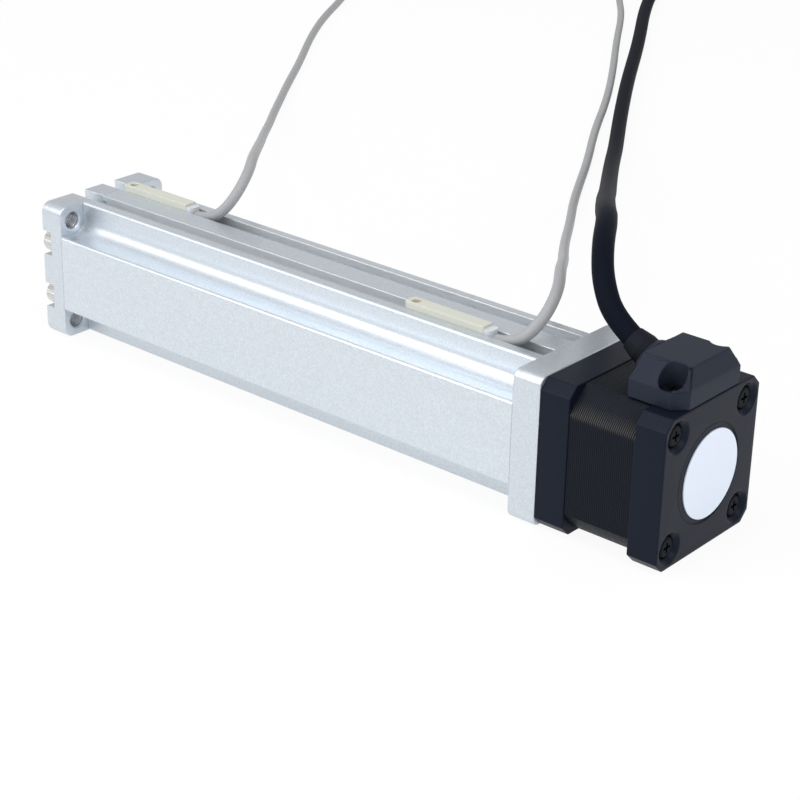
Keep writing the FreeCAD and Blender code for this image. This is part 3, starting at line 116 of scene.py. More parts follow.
class Finish:
    """A material being mixed. The settings of a node go in before its inputs."""

    def __init__(self, name, colour=(0.8, 0.8, 0.8), metal=0.0, rough=0.5, **sockets):
        self.material = bpy.data.materials.new(name)
        self.material.use_nodes = True
        self.tree = self.material.node_tree
        self.shader = self.tree.nodes["Principled BSDF"]
        self.set("Base Color", (*colour, 1))
        self.set("Metallic", metal)
        self.set("Roughness", rough)
        for socket, value in sockets.items():
            self.set(socket.replace("_", " "), value)

    def set(self, socket, value):
        self.fill(self.shader.inputs[socket], value)

    def fill(self, socket, value):
        if isinstance(value, Wire):
            self.tree.links.new(value.socket, socket)
        else:
            socket.default_value = value

    def node(self, kind, settings=None, inputs=None, output=0):
        node = self.tree.nodes.new(kind)
        for name, value in (settings or {}).items():
            setattr(node, name, value)
        for name, value in (inputs or {}).items():
            self.fill(node.inputs[name], value)
        return Wire(self, node.outputs[output])

    def place(self, scale):
        """The point on the piece in the row frame, stretched by scale."""
        point = self.node("ShaderNodeTexCoord", output="Object")
        return self.node("ShaderNodeMapping", {}, {"Vector": point, "Scale": scale})

    def along(self, axis):
        point = self.node("ShaderNodeTexCoord", output="Object")
        return self.node("ShaderNodeSeparateXYZ", {}, {0: point}, output="XYZ".index(axis))

    def noise(self, grain, stretch=(1, 1, 1), detail=2.0, rough=0.5):
        """Noise whose grains are about that many metres wide."""
        return self.node(
            "ShaderNodeTexNoise", {},
            {"Vector": self.place(stretch), "Scale": 1 / grain, "Detail": detail, "Roughness": rough},
        )

    def mix(self, share, one, other):
        node = self.tree.nodes.new("ShaderNodeMix")
        node.data_type = "RGBA"
        self.fill(node.inputs["Factor"], share)
        for socket, value in ((node.inputs[6], one), (node.inputs[7], other)):
            self.fill(socket, (*value, 1) if isinstance(value, tuple) else value)
        return Wire(self, node.outputs[2])

    def bump(self, height, depth):
        self.set("Normal", self.node(
            "ShaderNodeBump", {}, {"Height": height, "Strength": 1.0, "Distance": depth}))


def finished(obj, finish, slot, *nodes, body="cylinder"):
    """Gives a piece its finish, its body and the CAD nodes that it stands for."""
    obj.data.materials.clear()
    obj.data.materials.append(finish.material)
    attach(obj, body)
    if nodes:
        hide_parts(*nodes)


def paint(finish, *nodes):
    """Gives CAD nodes that stay as they are their finish."""
    for node in nodes:
        NODES[node].data.materials.clear()
        NODES[node].data.materials.append(finish.material)


def new_piece(name, mesh):
    obj = bpy.data.objects.new(name, mesh)
    bpy.context.scene.collection.objects.link(obj)
    return obj


def piece_from(form, name):
    """A piece with this form as its mesh. The form is freed."""
    mesh = bpy.data.meshes.new(name)
    form.to_mesh(mesh)
    form.free()
    return new_piece(name, mesh)


def baked(obj, name):
    """The plain mesh that an object's modifiers make, in place of the object."""
    evaluated = obj.evaluated_get(bpy.context.evaluated_depsgraph_get())
    mesh = bpy.data.meshes.new_from_object(evaluated)
    bpy.data.objects.remove(obj)
    return new_piece(name, mesh)


def tucked(mesh, form, width):
    """Moves every vertex that strays from the solid's surface back onto it. A vertex of a
    round of this width strays when it lies far inside, stands out or leaves the solid's box."""
    too_far, too_proud = 0.8 * width, 0.01 * width
    surface = BVHTree.FromBMesh(form)
    corners = [vertex.co for vertex in form.verts]
    low = [min(corner[axis] for corner in corners) for axis in range(3)]
    high = [max(corner[axis] for corner in corners) for axis in range(3)]
    for vertex in mesh.vertices:
        nearest, normal, _, distance = surface.find_nearest(vertex.co)
        outside = (vertex.co - nearest).dot(normal)
        past_box = any(not low[axis] <= vertex.co[axis] <= high[axis] for axis in range(3))
        if distance > too_far or outside > too_proud or past_box:
            vertex.co = nearest


WELD = 0.002 * MM


def eased(node, name, width, segments=2, sharp=30):
    """A copy of a CAD node whose sharp edges are broken by a small round. Its normals follow
    the larger faces, so that flat faces stay flat up to the rounds."""
    obj = new_piece(name, NODES[node].data.copy())
    form = bmesh.new()
    form.from_mesh(obj.data)
    bmesh.ops.remove_doubles(form, verts=form.verts, dist=WELD)
    form.to_mesh(obj.data)
    bevel = obj.modifiers.new("Eased edges", "BEVEL")
    bevel.width, bevel.segments = width * MM, segments
    bevel.limit_method, bevel.angle_limit = "ANGLE", math.radians(sharp)
    bevel.use_clamp_overlap = bevel.loop_slide = False
    obj = baked(obj, name)
    tucked(obj.data, form, width * MM)
    form.free()
    smooth(obj, 60)
    obj.modifiers.new("Flat faces", "WEIGHTED_NORMAL").keep_sharp = True
    return baked(obj, name)


def smooth(obj, sharp=35):
    obj.data.polygons.foreach_set("use_smooth", [True] * len(obj.data.polygons))
    obj.data.set_sharp_from_angle(angle=math.radians(sharp))


# Tube: an aluminium extrusion with a flute down each corner and two slots in its top.
# It is sawn to length, blasted to a fine even grain and clear anodised.
ALUMINIUM = (0.70, 0.755, 0.81)
# Colour of the slot walls: painted light
SLOT_PAINTED_LIGHT = (0.83, 0.855, 0.875)
BLAST_GRAIN, CLOUD, DRAW_LINE = 0.55 * MM, 26 * MM, 1.2 * MM
GRAIN_CONTRAST = 2.5
DARK_GRAIN, LIGHT_GRAIN = 0.87, 1.07


def anodised(name, colour, grain_depth, lengthwise):
    """Blasted and anodised aluminium. lengthwise is how far the marks of the die show."""
    finish = Finish(name, metal=0.82)
    grain = finish.noise(BLAST_GRAIN, detail=3.0, rough=0.7)
    speck = ((grain - 0.5) * GRAIN_CONTRAST + 0.5).clamp()
    cloud = finish.noise(CLOUD, detail=1.0)
    drawn = finish.noise(DRAW_LINE, stretch=(0.012, 1, 1), detail=2.0)
    finish.set("Roughness", 0.30 + 0.10 * grain + 0.05 * cloud)
    darker, lighter = (tuple(share * part for part in colour) for share in (DARK_GRAIN, LIGHT_GRAIN))
    finish.tone = finish.mix(speck, darker, lighter)
    finish.set("Base Color", finish.tone)
    finish.bump(grain + drawn * lengthwise, grain_depth * MM)
    return finish


tube_finish = anodised("clear anodised extrusion", ALUMINIUM, grain_depth=0.012, lengthwise=0.6)
# The walls of the slots get a lighter colour, a painted light that stands in for light reaching
# down into the deep slots. A slot is as wide as its sensor and the room beside it.
BESIDE_SENSOR, UNDER_SENSOR, UNDER_TOP = 1.1 * MM, 0.3 * MM, 0.05 * MM
sensor_low, sensor_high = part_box("near_sensor_body")
tube_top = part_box("cylinder_tube")[1][2]
height = tube_finish.along("Z")
off_middle = tube_finish.along("Y").absolute()
slot_light_mask = off_middle.over(sensor_low[1] - BESIDE_SENSOR) \
    * off_middle.under(sensor_high[1] + BESIDE_SENSOR) \
    * height.over(sensor_low[2] - UNDER_SENSOR) * height.under(tube_top - UNDER_TOP)
tube_finish.set("Base Color", tube_finish.mix(slot_light_mask, tube_finish.tone, SLOT_PAINTED_LIGHT))
tube = eased("cylinder_tube", "cylinder_tube_profile", 0.16)
finished(tube, tube_finish, "anodised_tube", "cylinder_tube")

# Rod cover: a machined block with four threaded ears, two gaps in line with the slots and
# screw recesses that break out through its sides. Milled, blasted and clear anodised.
BLOCK_ALUMINIUM = tuple(0.95 * part for part in ALUMINIUM)
end_finish = anodised("clear anodised block", BLOCK_ALUMINIUM, grain_depth=0.010, lengthwise=0.0)
cover = eased("rod_cover", "rod_cover_block", 0.30)
finished(cover, end_finish, "anodised_ends", "rod_cover")


class Tree:
    """A Geometry Nodes tree whose named inputs become the settings of a modifier."""

    def __init__(self, name, **inputs):
        self.group = bpy.data.node_groups.new(name, "GeometryNodeTree")
        self.sockets = {}
        for label, kind in inputs.items():
            item = self.group.interface.new_socket(label, in_out="INPUT", socket_type="NodeSocket" + kind)
            self.sockets[label] = item.identifier
        self.group.interface.new_socket("Geometry", in_out="OUTPUT", socket_type="NodeSocketGeometry")
        self.inputs = self.group.nodes.new("NodeGroupInput")
        self.end = self.group.nodes.new("NodeGroupOutput")

    def node(self, kind, inputs):
        node = self.group.nodes.new(kind)
        for name, value in inputs.items():
            if isinstance(value, bpy.types.NodeSocket):
                self.group.links.new(value, node.inputs[name])
            else:
                node.inputs[name].default_value = value
        return node

    def finish_with(self, geometry):
        """Every tree ends in real geometry with its material set."""
        real = self.node("GeometryNodeRealizeInstances", {"Geometry": geometry})
        coated = self.node("GeometryNodeSetMaterial",
                           {"Geometry": real.outputs[0], "Material": self.inputs.outputs["Material"]})
        self.group.links.new(coated.outputs[0], self.end.inputs[0])

    def grow(self, name, **values):
        """The mesh that the tree makes with these values."""
        obj = new_piece(name, bpy.data.meshes.new(name))
        modifier = obj.modifiers.new(name, "NODES")
        modifier.node_group = self.group
        for label, value in values.items():
            modifier[self.sockets[label]] = value
        made = baked(obj, name)
        bpy.data.objects.remove(values["Unit"])
        return made


# Units repeated in a line, such as laminations and the turns of a thread
line_tree = Tree("units in a line", Unit="Object", Count="Int", Step="Vector", Material="Material")
unit = line_tree.node("GeometryNodeObjectInfo", {"Object": line_tree.inputs.outputs["Unit"]})
spots = line_tree.node(
    "GeometryNodeMeshLine",
    {"Count": line_tree.inputs.outputs["Count"], "Offset": line_tree.inputs.outputs["Step"]},
)
line_tree.finish_with(line_tree.node(
    "GeometryNodeInstanceOnPoints", {"Points": spots.outputs[0], "Instance": unit.outputs["Geometry"]},
).outputs[0])

# Units at the four corners of a rectangle that faces along x, such as screws
corner_tree = Tree("units at four corners", Unit="Object", Width="Float", Height="Float",
                   Centre="Vector", Material="Material")
unit = corner_tree.node("GeometryNodeObjectInfo", {"Object": corner_tree.inputs.outputs["Unit"]})
grid = corner_tree.node(
    "GeometryNodeMeshGrid",
    {"Size X": corner_tree.inputs.outputs["Height"], "Size Y": corner_tree.inputs.outputs["Width"],
     "Vertices X": 2, "Vertices Y": 2},
)
upright_grid = corner_tree.node(
    "GeometryNodeTransform",
    {"Geometry": grid.outputs[0], "Rotation": (0, math.radians(90), 0),
     "Translation": corner_tree.inputs.outputs["Centre"]},
)
corner_tree.finish_with(corner_tree.node(
    "GeometryNodeInstanceOnPoints",
    {"Points": upright_grid.outputs[0], "Instance": unit.outputs["Geometry"]},
).outputs[0])

# The height of the cylinder's axis over the surface
AXIS_Z = sum(corner[2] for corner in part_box("piston_rod")) / 2


def band(form, one, other):
    """Faces all round between two rings of like corners."""
    for i in range(len(one)):
        after = (i + 1) % len(one)
        form.faces.new((one[i], one[after], other[after], other[i]))


def thread_turn(name, radius, height, pitch, sides=36):
    """One turn of a thread's ridge about x. A height below zero stands inwards."""
    foot, crest = 0.42 * pitch, 0.08 * pitch
    form = bmesh.new()
    rings = []
    for i in range(sides + 1):
        angle = 2 * math.pi * i / sides
        out = Vector((0, math.cos(angle), math.sin(angle)))
        shift = pitch * i / sides
        rings.append([
            form.verts.new((out * r + Vector((shift + x, 0, 0))) * MM)
            for x, r in ((-foot, radius), (-crest, radius + height),
                         (crest, radius + height), (foot, radius))
        ])
    for one, other in zip(rings, rings[1:]):
        band(form, one, other)
    bmesh.ops.recalc_face_normals(form, faces=form.faces)
    return piece_from(form, name)


def threaded(name, finish, start, length, radius, height, pitch):
    """A run of thread from a station in millimetres of the row frame, on the axis y = z = 0."""
    turn = thread_turn(name + "_turn", radius, height, pitch)
    turn.data.transform(Matrix.Translation(((start + pitch) * MM, 0, 0)))
    count = int(length / pitch) - 1
    return line_tree.grow(name, Unit=turn, Count=count, Step=(pitch * MM, 0, 0), Material=finish.material)


# Ear threads: M6 taps run right through the four ears, bright where the tap has cut
# through the anodising.
tap_finish = Finish("tapped aluminium", (0.62, 0.63, 0.65), metal=1.0, rough=0.28)
EAR_SPACING, EAR_BORE, EAR_THREAD_DEPTH, EAR_THREAD_PITCH = 32.5, 2.5, 0.28, 1.0
COVER_BOSS = 2.5
SUNK = 0.02
cover_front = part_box("rod_cover")[1][0] / MM - COVER_BOSS
cover_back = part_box("cylinder_tube")[1][0] / MM
ear_turns = threaded("ear_thread_unit", tap_finish, cover_back, cover_front - cover_back,
                     EAR_BORE + SUNK, -EAR_THREAD_DEPTH, EAR_THREAD_PITCH)
ears = corner_tree.grow("ear_threads", Unit=ear_turns, Width=EAR_SPACING * MM, Height=EAR_SPACING * MM,
                        Centre=(0, 0, AXIS_Z), Material=tap_finish.material)
smooth(ears, 50)
finished(ears, tap_finish, "anodised_ends")


def edges_of(form, ring):
    return [form.edges.get((ring[i], ring[(i + 1) % len(ring)])) for i in range(len(ring))]


def screw(name, head, height, shank, length, recess, recess_depth, knurl=0.0, crown=0.0, sides=72):
    """A screw along +x with the underside of its head at x = 0. recess is the outline of its
    socket; knurl is the depth of the ribs round its head, and crown how far its top domes."""
    form = bmesh.new()

    def loop(x, radius, ribs=0.0):
        return [
            form.verts.new(Vector((x, math.cos(2 * math.pi * i / sides) * (radius - ribs * (i % 2)),
                                   math.sin(2 * math.pi * i / sides) * (radius - ribs * (i % 2)))) * MM)
            for i in range(sides)
        ]

    chamfer, flat = 0.12 * head, 0.72 * head
    tip, root, pitch = 0.8 * shank, 0.86 * shank, 0.35 * shank
    start = 0.3 * shank - length
    steps = int((length - shank) / pitch)
    profile = [(-length, tip), (start, shank)]
    profile += [(start + pitch * (i + 1), (root, shank)[i % 2]) for i in range(steps)]
    profile += [(0, shank), (0, head - 0.4 * chamfer), (0.4 * chamfer, head)]
    loops = [loop(x, radius) for x, radius in profile]
    loops.append(loop(0.6 * chamfer, head, knurl))
    loops.append(loop(height - chamfer, head, knurl))
    if crown:
        loops += [loop(height - crown * (1 - math.cos(a)), flat + (head - flat) * math.sin(a))
                  for a in (1.2, 0.8, 0.4)]
        loops.append(loop(height, flat))
    else:
        loops.append(loop(height, head - chamfer))
    for one, other in zip(loops, loops[1:]):
        band(form, one, other)
    form.faces.new(loops[0][::-1])
    rim = [form.verts.new(Vector((height, y, z)) * MM) for y, z in recess]
    floor = [form.verts.new(Vector((height - recess_depth, y * 0.9, z * 0.9)) * MM) for y, z in recess]
    band(form, rim, floor)
    form.faces.new(floor)
    bmesh.ops.triangle_fill(form, use_beauty=True, edges=edges_of(form, loops[-1]) + edges_of(form, rim))
    bmesh.ops.recalc_face_normals(form, faces=form.faces)
    return piece_from(form, name)


def hex_socket(across):
    """The outline of a hexagon socket of this size across its flats."""
    corner = across / math.sqrt(3)
    return [(corner * math.cos(math.radians(60 * i)), corner * math.sin(math.radians(60 * i)))
            for i in range(6)]


def cross_socket(reach, bar):
    """The outline of a cross recess whose arms have this reach and this width."""
    half = bar / 2
    return [(reach, -half), (reach, half), (half, half), (half, reach), (-half, reach), (-half, half),
            (-reach, half), (-reach, -half), (-half, -half), (-half, -reach), (half, -reach), (half, -half)]


def four_screws(name, node, finish, slot, unit_screw, head_height, spacing, forward):
    """Four like screws at the corners of their node's rectangle, heads along +x or -x."""
    low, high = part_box(node)
    seat = high[0] - head_height * MM if forward else low[0] + head_height * MM
    if not forward:
        unit_screw.data.transform(Matrix.Rotation(math.pi, 4, "Z"))
    made = corner_tree.grow(name, Unit=unit_screw, Width=2 * spacing[0] * MM, Height=2 * spacing[1] * MM,
                            Centre=(seat, 0, AXIS_Z), Material=finish.material)
    smooth(made, 30)
    finished(made, finish, slot, node)


# Cover screws: M4 socket cap screws with knurled heads, plated bright, standing a little
# proud of the cover's front. The bolts' places are given across and up from the axis.
TUBE_BOLTS = (17.6, 8.6)
plated = Finish("plated steel", (0.70, 0.70, 0.69), metal=1.0)
plated.set("Roughness", 0.18 + 0.16 * plated.noise(0.8 * MM))
CAP_HEIGHT = 4.0
cap_screw = screw("cap_screw_unit", head=3.5, height=CAP_HEIGHT, shank=2.0, length=12.0,
                  recess=hex_socket(3.0), recess_depth=2.0, knurl=0.12)
four_screws("cover_cap_screws", "rod_cover_screws", plated, "screw_steel", cap_screw,
            CAP_HEIGHT, TUBE_BOLTS, forward=True)

# Rod and its end: a hollow ground bar, hard chromed, with two flats for a spanner and a
# threaded steel plug pressed into its open end.
chrome = Finish("hard chrome", (0.80, 0.81, 0.82), metal=1.0)
grinding = chrome.noise(0.25 * MM, stretch=(1, 0.02, 0.02), detail=1.0)
chrome.set("Roughness", 0.07 + 0.08 * grinding)
chrome.bump(grinding, 0.0015 * MM)
rod = eased("piston_rod", "piston_rod_bar", 0.25)
finished(rod, chrome, "ground_steel", "piston_rod", body="rod")
turned_steel = Finish("turned steel", (0.66, 0.66, 0.67), metal=1.0)
tool_marks = turned_steel.noise(0.3 * MM, detail=1.0)
turned_steel.set("Roughness", 0.22 + 0.15 * tool_marks)
insert = eased("rod_end_insert", "rod_end_plug", 0.2)
finished(insert, turned_steel, "ground_steel", "rod_end_insert", body="rod")
ROD_THREAD_DEPTH, ROD_THREAD_LENGTH = 19.5, 18.5
ROD_BORE, ROD_THREAD_HEIGHT, ROD_THREAD_PITCH = 3.42, 0.35, 1.25
rod_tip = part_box("piston_rod")[1][0] / MM
rod_thread = threaded("rod_end_thread", turned_steel, rod_tip - ROD_THREAD_DEPTH, ROD_THREAD_LENGTH,
                      ROD_BORE, -ROD_THREAD_HEIGHT, ROD_THREAD_PITCH)
rod_thread.data.transform(Matrix.Translation((0, 0, AXIS_Z)))
smooth(rod_thread, 50)
finished(rod_thread, turned_steel, "ground_steel", body="rod")

# Finishes of the running line inside the tube and of the small parts: bronze nut and bushing,
# nylon rings, soft bumpers and wiper, bearings, a red coupling star, black screws. Most of it
# is hidden while the cylinder is closed up.
bronze = Finish("bearing bronze", (0.70, 0.47, 0.24), metal=1.0)
bronze.set("Roughness", 0.28 + 0.2 * bronze.noise(0.5 * MM))
nylon = Finish("white nylon", (0.86, 0.85, 0.80), rough=0.5, Subsurface_Weight=0.05)
nylon.bump(nylon.noise(0.5 * MM), 0.01 * MM)
BLUE_SHEEN = (0.78, 0.88, 1.0, 1.0)
rubber = Finish("black nitrile", (0.007, 0.008, 0.012), rough=0.6, Specular_IOR_Level=0.14,
                Specular_Tint=BLUE_SHEEN)
rubber.bump(rubber.noise(0.3 * MM), 0.01 * MM)
star = Finish("red urethane", (0.55, 0.04, 0.03))
star.set("Roughness", 0.35 + 0.15 * star.noise(0.6 * MM))
bearing_steel = Finish("bearing steel", (0.74, 0.74, 0.75), metal=1.0)
bearing_steel.set("Roughness", 0.12 + 0.12 * bearing_steel.noise(0.6 * MM))
black_oxide = Finish("black oxide steel", (0.004, 0.005, 0.008), Specular_IOR_Level=0.08,
                     Specular_Tint=BLUE_SHEEN)
black_oxide.set("Roughness", 0.34 + 0.2 * black_oxide.noise(0.4 * MM))
magnet = Finish("bonded magnet", (0.09, 0.09, 0.10), metal=0.3, rough=0.55)
magnet.bump(magnet.noise(0.2 * MM), 0.01 * MM)
machined = anodised("machined aluminium", (0.78, 0.79, 0.80), grain_depth=0.006, lengthwise=0.0)
paint(bronze, "drive_nut", "rod_bushing")
paint(nylon, "screw_tip_guide", "wear_ring", "guide_key")
paint(rubber, "rod_wiper", "front_bumper", "rear_bumper")
paint(star, "coupling_spider")
paint(bearing_steel, "thrust_bearing_outer_rings", "thrust_bearing_inner_rings",
      "motor_bearing_outer_rings", "motor_bearing_inner_rings")
paint(black_oxide, "nut_retaining_clip", "bearing_lock_nut")
paint(magnet, "magnet_ring")
paint(machined, "bearing_retainer", "coupling_hub_motor", "coupling_hub_screw", "piston")
paint(turned_steel, "motor_shaft")

# Lead screw: a rolled steel screw with a 5 mm lead, its thread standing on a plain core.
SCREW_LEAD, CORE, CREST = 5.0, 4.1, 5.0
JOURNAL, BEARING_SEAT, TIP_PIN = 3.0, 4.0, 3.5
COLLAR, RUN_OUT, TIP_SPACE = 3, 1, 2
screw_rear, screw_front = (corner[0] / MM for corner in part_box("lead_screw"))
nut_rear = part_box("bearing_lock_nut")[0][0] / MM
bearing_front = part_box("thrust_bearing_inner_rings")[1][0] / MM
guide_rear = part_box("screw_tip_guide")[0][0] / MM
thread_start = bearing_front + COLLAR
core_profile = [
    (screw_rear, 0.0), (screw_rear, JOURNAL), (nut_rear, JOURNAL), (nut_rear, BEARING_SEAT),
    (bearing_front, BEARING_SEAT), (bearing_front, CREST), (thread_start, CREST),
    (thread_start + RUN_OUT, CORE), (guide_rear, CORE), (guide_rear, TIP_PIN),
    (screw_front, TIP_PIN), (screw_front, 0.0),
]


def lathed(name, profile, sides=64):
    """A turned piece about the cylinder's axis, from (station, radius) corners. The first and
    the last corner lie on the axis."""
    form = bmesh.new()
    turns = [2 * math.pi * i / sides for i in range(sides)]
    rings = [
        [form.verts.new(Vector((x, -radius * math.sin(turn), radius * math.cos(turn))) * MM)
         for turn in turns]
        for x, radius in profile[1:-1]
    ]
    for one, other in zip(rings, rings[1:]):
        band(form, one, other)
    for ring, (x, _) in ((rings[0], profile[0]), (rings[-1], profile[-1])):
        middle = form.verts.new(Vector((x, 0, 0)) * MM)
        for one, other in zip(ring, ring[1:] + ring[:1]):
            form.faces.new((middle, one, other))
    bmesh.ops.recalc_face_normals(form, faces=form.faces)
    bmesh.ops.translate(form, verts=form.verts, vec=(0, 0, AXIS_Z))
    obj = piece_from(form, name)
    smooth(obj)
    return obj


core = lathed("lead_screw_core", core_profile)
turns = threaded("lead_screw_turns", turned_steel, thread_start, guide_rear - thread_start - TIP_SPACE,
                 CORE - SUNK, CREST - CORE, SCREW_LEAD)
turns.data.transform(Matrix.Translation((0, 0, AXIS_Z)))
form = bmesh.new()
form.from_mesh(core.data)
form.from_mesh(turns.data)
form.to_mesh(core.data)
form.free()
bpy.data.objects.remove(turns)
smooth(core, 40)
finished(core, turned_steel, "ground_steel", "lead_screw", body="screw_line")

# Motor mount: a square plate, machined and anodised like the cover, with the bearing sleeve
# that reaches into the tube. Black screws hold it to the motor and to the tube.
mount = eased("motor_mount", "motor_mount_plate", 0.35)
finished(mount, end_finish, "anodised_ends", "motor_mount")
MOTOR_BOLTS = (15.5, 15.5)
LOW_HEAD, FLANGE_HEAD = 2.8, 3.0
low_head_screw = screw("low_head_unit", head=3.0, height=LOW_HEAD, shank=2.0, length=12.0,
                       recess=hex_socket(2.5), recess_depth=1.4, knurl=0.1)
four_screws("mount_cap_screws", "mount_tube_screws", black_oxide, "black_steel", low_head_screw,
            LOW_HEAD, TUBE_BOLTS, forward=False)
flange_screw = screw("flange_unit", head=2.75, height=FLANGE_HEAD, shank=1.5, length=9.3,
                     recess=hex_socket(2.5), recess_depth=1.5, knurl=0.1)
four_screws("flange_cap_screws", "motor_flange_screws", black_oxide, "black_steel", flange_screw,
            FLANGE_HEAD, MOTOR_BOLTS, forward=True)

# Motor bells: two die castings, machined square, blasted and painted satin black.
bell_finish = Finish("satin black casting", (0.0055, 0.008, 0.017), Specular_IOR_Level=0.14,
                     Specular_Tint=BLUE_SHEEN)
orange_peel = bell_finish.noise(0.35 * MM, detail=3.0, rough=0.55)
bell_finish.set("Roughness", 0.28 + 0.16 * orange_peel)
bell_finish.bump(orange_peel, 0.014 * MM)
for end in ("front", "rear"):
    bell = eased(f"motor_{end}_bell", f"{end}_bell_casting", 0.28)
    finished(bell, bell_finish, "black_bell", f"motor_{end}_bell")

# Stator stack: thin laminations pressed together and painted black, so that their edges
# show as fine lines across the motor's sides. A painted highlight brightens the lines, most in
# a band along the lower part of the round corners and a little over the top.
SHEETS, SHEET_CROWN = 34, 0.09
STACK_ROUND, STACK_BORE = 25.1, 13.3
PAINTED, BARE_STEEL_AND_HIGHLIGHT = (0.0042, 0.006, 0.011), (0.088, 0.078, 0.066)
# How far the lines show on the sides, in the painted highlight band and over it, and how far
# above the axis the band sets in and fades, in millimetres
SIDE_LINES, HIGHLIGHT_BAND_LINES, TOP_HIGHLIGHT_LINES = 0.06, 1.0, 0.14
HIGHLIGHT_BAND_START, HIGHLIGHT_BAND_START_WIDTH, HIGHLIGHT_BAND_END, HIGHLIGHT_BAND_END_WIDTH = 13.0, 1.0, 14.8, 2.6
stack_low, stack_high = (Vector(corner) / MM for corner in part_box("stator_stack"))
half_side = (stack_high.y - stack_low.y) / 2
sheet = (stack_high.x - stack_low.x) / SHEETS
stack_finish = Finish("black laminations", Specular_IOR_Level=0.14, Specular_Tint=BLUE_SHEEN)
sheet_edge = stack_finish.noise(0.5 * MM, stretch=(1, 0.05, 0.05))
stack_finish.set("Roughness", 0.30 + 0.25 * sheet_edge)
sheets_in = (stack_finish.along("X") - stack_low.x * MM) / (sheet * MM)
bare_edge = ((sheets_in * (2 * math.pi) - math.pi / 2).sine() * 0.5 + 0.5) ** 4
above_axis = stack_finish.along("Z") - AXIS_Z
# The band of strong lines on the upper corners is painted highlight
highlight_band_starts = ((above_axis - HIGHLIGHT_BAND_START * MM) / (HIGHLIGHT_BAND_START_WIDTH * MM)).clamp()
highlight_band_ends = ((above_axis - HIGHLIGHT_BAND_END * MM) / (HIGHLIGHT_BAND_END_WIDTH * MM)).clamp()
highlight_over_side = highlight_band_starts * (HIGHLIGHT_BAND_LINES - SIDE_LINES - (HIGHLIGHT_BAND_LINES - TOP_HIGHLIGHT_LINES) * highlight_band_ends)
# The lines' colour is the bare edges of the sheets with a painted highlight on them
stack_finish.set("Base Color", stack_finish.mix(bare_edge * (SIDE_LINES + highlight_over_side), PAINTED, BARE_STEEL_AND_HIGHLIGHT))


def lamination(corner_steps=8, bore_sides=40):
    """One sheet of the stack: a square with round corners, its rim slightly crowned."""
    quarter = math.radians(90)
    corner_angle = math.acos(half_side / STACK_ROUND)
    outline = []
    for side in range(4):
        for i in range(corner_steps + 1):
            angle = quarter * side + corner_angle + (quarter - 2 * corner_angle) * i / corner_steps
            outline.append((STACK_ROUND * math.cos(angle), STACK_ROUND * math.sin(angle)))
    form = bmesh.new()
    rings = []
    for x, inset in ((0, SHEET_CROWN), (SHEET_CROWN, 0), (sheet - SHEET_CROWN, 0), (sheet, SHEET_CROWN)):
        share = 1 - inset / half_side
        rings.append([form.verts.new(Vector((x, y * share, z * share)) * MM) for y, z in outline])
    for one, other in zip(rings, rings[1:]):
        band(form, one, other)
    turns = [2 * math.pi * i / bore_sides for i in range(bore_sides)]
    rear_bore, front_bore = (
        [form.verts.new(Vector((x, STACK_BORE * math.cos(turn), STACK_BORE * math.sin(turn))) * MM)
         for turn in turns]
        for x in (0, sheet)
    )
    band(form, front_bore, rear_bore)
    for rim, bore in ((rings[0], rear_bore), (rings[-1], front_bore)):
        bmesh.ops.triangle_fill(form, use_beauty=True, edges=edges_of(form, rim) + edges_of(form, bore))
    bmesh.ops.recalc_face_normals(form, faces=form.faces)
    made = piece_from(form, "lamination")
    made.data.transform(Matrix.Translation((stack_low.x * MM, 0, AXIS_Z)))
    return made


stack = line_tree.grow(
    "stator_laminations", Unit=lamination(), Count=SHEETS,
    Step=(sheet * MM, 0, 0), Material=stack_finish.material,
)
finished(stack, stack_finish, "lamination", "stator_stack")
paint(stack_finish, "rotor")
copper = Finish("enamelled copper", (0.48, 0.20, 0.07), metal=0.8, rough=0.35)
strands = copper.noise(0.4 * MM)
copper.bump(strands, 0.1 * MM)
paint(copper, "stator_windings")

# Tie screws: black pan-head screws with a cross recess, sunk in the rear bell, that pull
# the two bells and the stack together.
PAN_HEIGHT = 2.0
pan_screw = screw("pan_screw_unit", head=2.8, height=PAN_HEIGHT, shank=1.5, length=29.9,
                  recess=cross_socket(1.5, 0.75), recess_depth=1.1, crown=0.5)
four_screws("motor_pan_screws", "motor_tie_screws", black_oxide, "black_steel", pan_screw,
            PAN_HEIGHT, MOTOR_BOLTS, forward=False)

# Label: a plain disc of white polyester film in a shallow round seat of the rear bell. It is
# smaller than the seat and stuck a little off the middle.
LABEL_RADIUS, LABEL_SHIFT = 12.2, (0.0, -1.1, -0.55)
film = Finish("white film", (0.79, 0.86, 0.99))
film.set("Roughness", 0.33 + 0.1 * film.noise(3 * MM))
film_rear, film_front = (corner[0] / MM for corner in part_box("label_disc"))
film_profile = [(film_rear, 0.0), (film_rear, LABEL_RADIUS), (film_front, LABEL_RADIUS), (film_front, 0.0)]
label = lathed("label_film", film_profile, sides=96)
label.data.transform(Matrix.Translation(Vector(LABEL_SHIFT) * MM))
finished(label, film, "label", "label_disc")

# Cable housing: a hood moulded in matt black plastic and screwed down on the rear bell,
# with a deep recess for each screw and a domed outlet for the cable.
moulded = Finish("matt black moulding", (0.0145, 0.019, 0.032), Specular_IOR_Level=0.2,
                 Specular_Tint=BLUE_SHEEN)
mould_grain = moulded.noise(0.28 * MM, detail=3.0, rough=0.6)
moulded.set("Roughness", 0.42 + 0.16 * mould_grain)
moulded.bump(mould_grain, 0.018 * MM)
hood = eased("cable_housing", "cable_hood", 0.35, segments=3)
finished(hood, moulded, "housing_plastic", "cable_housing")
paint(black_oxide, "cable_housing_screws")
paint(rubber, "cable_grommet")
connector = eased("motor_connector", "cable_connector", 0.4)
finished(connector, moulded, "housing_plastic", "motor_connector")

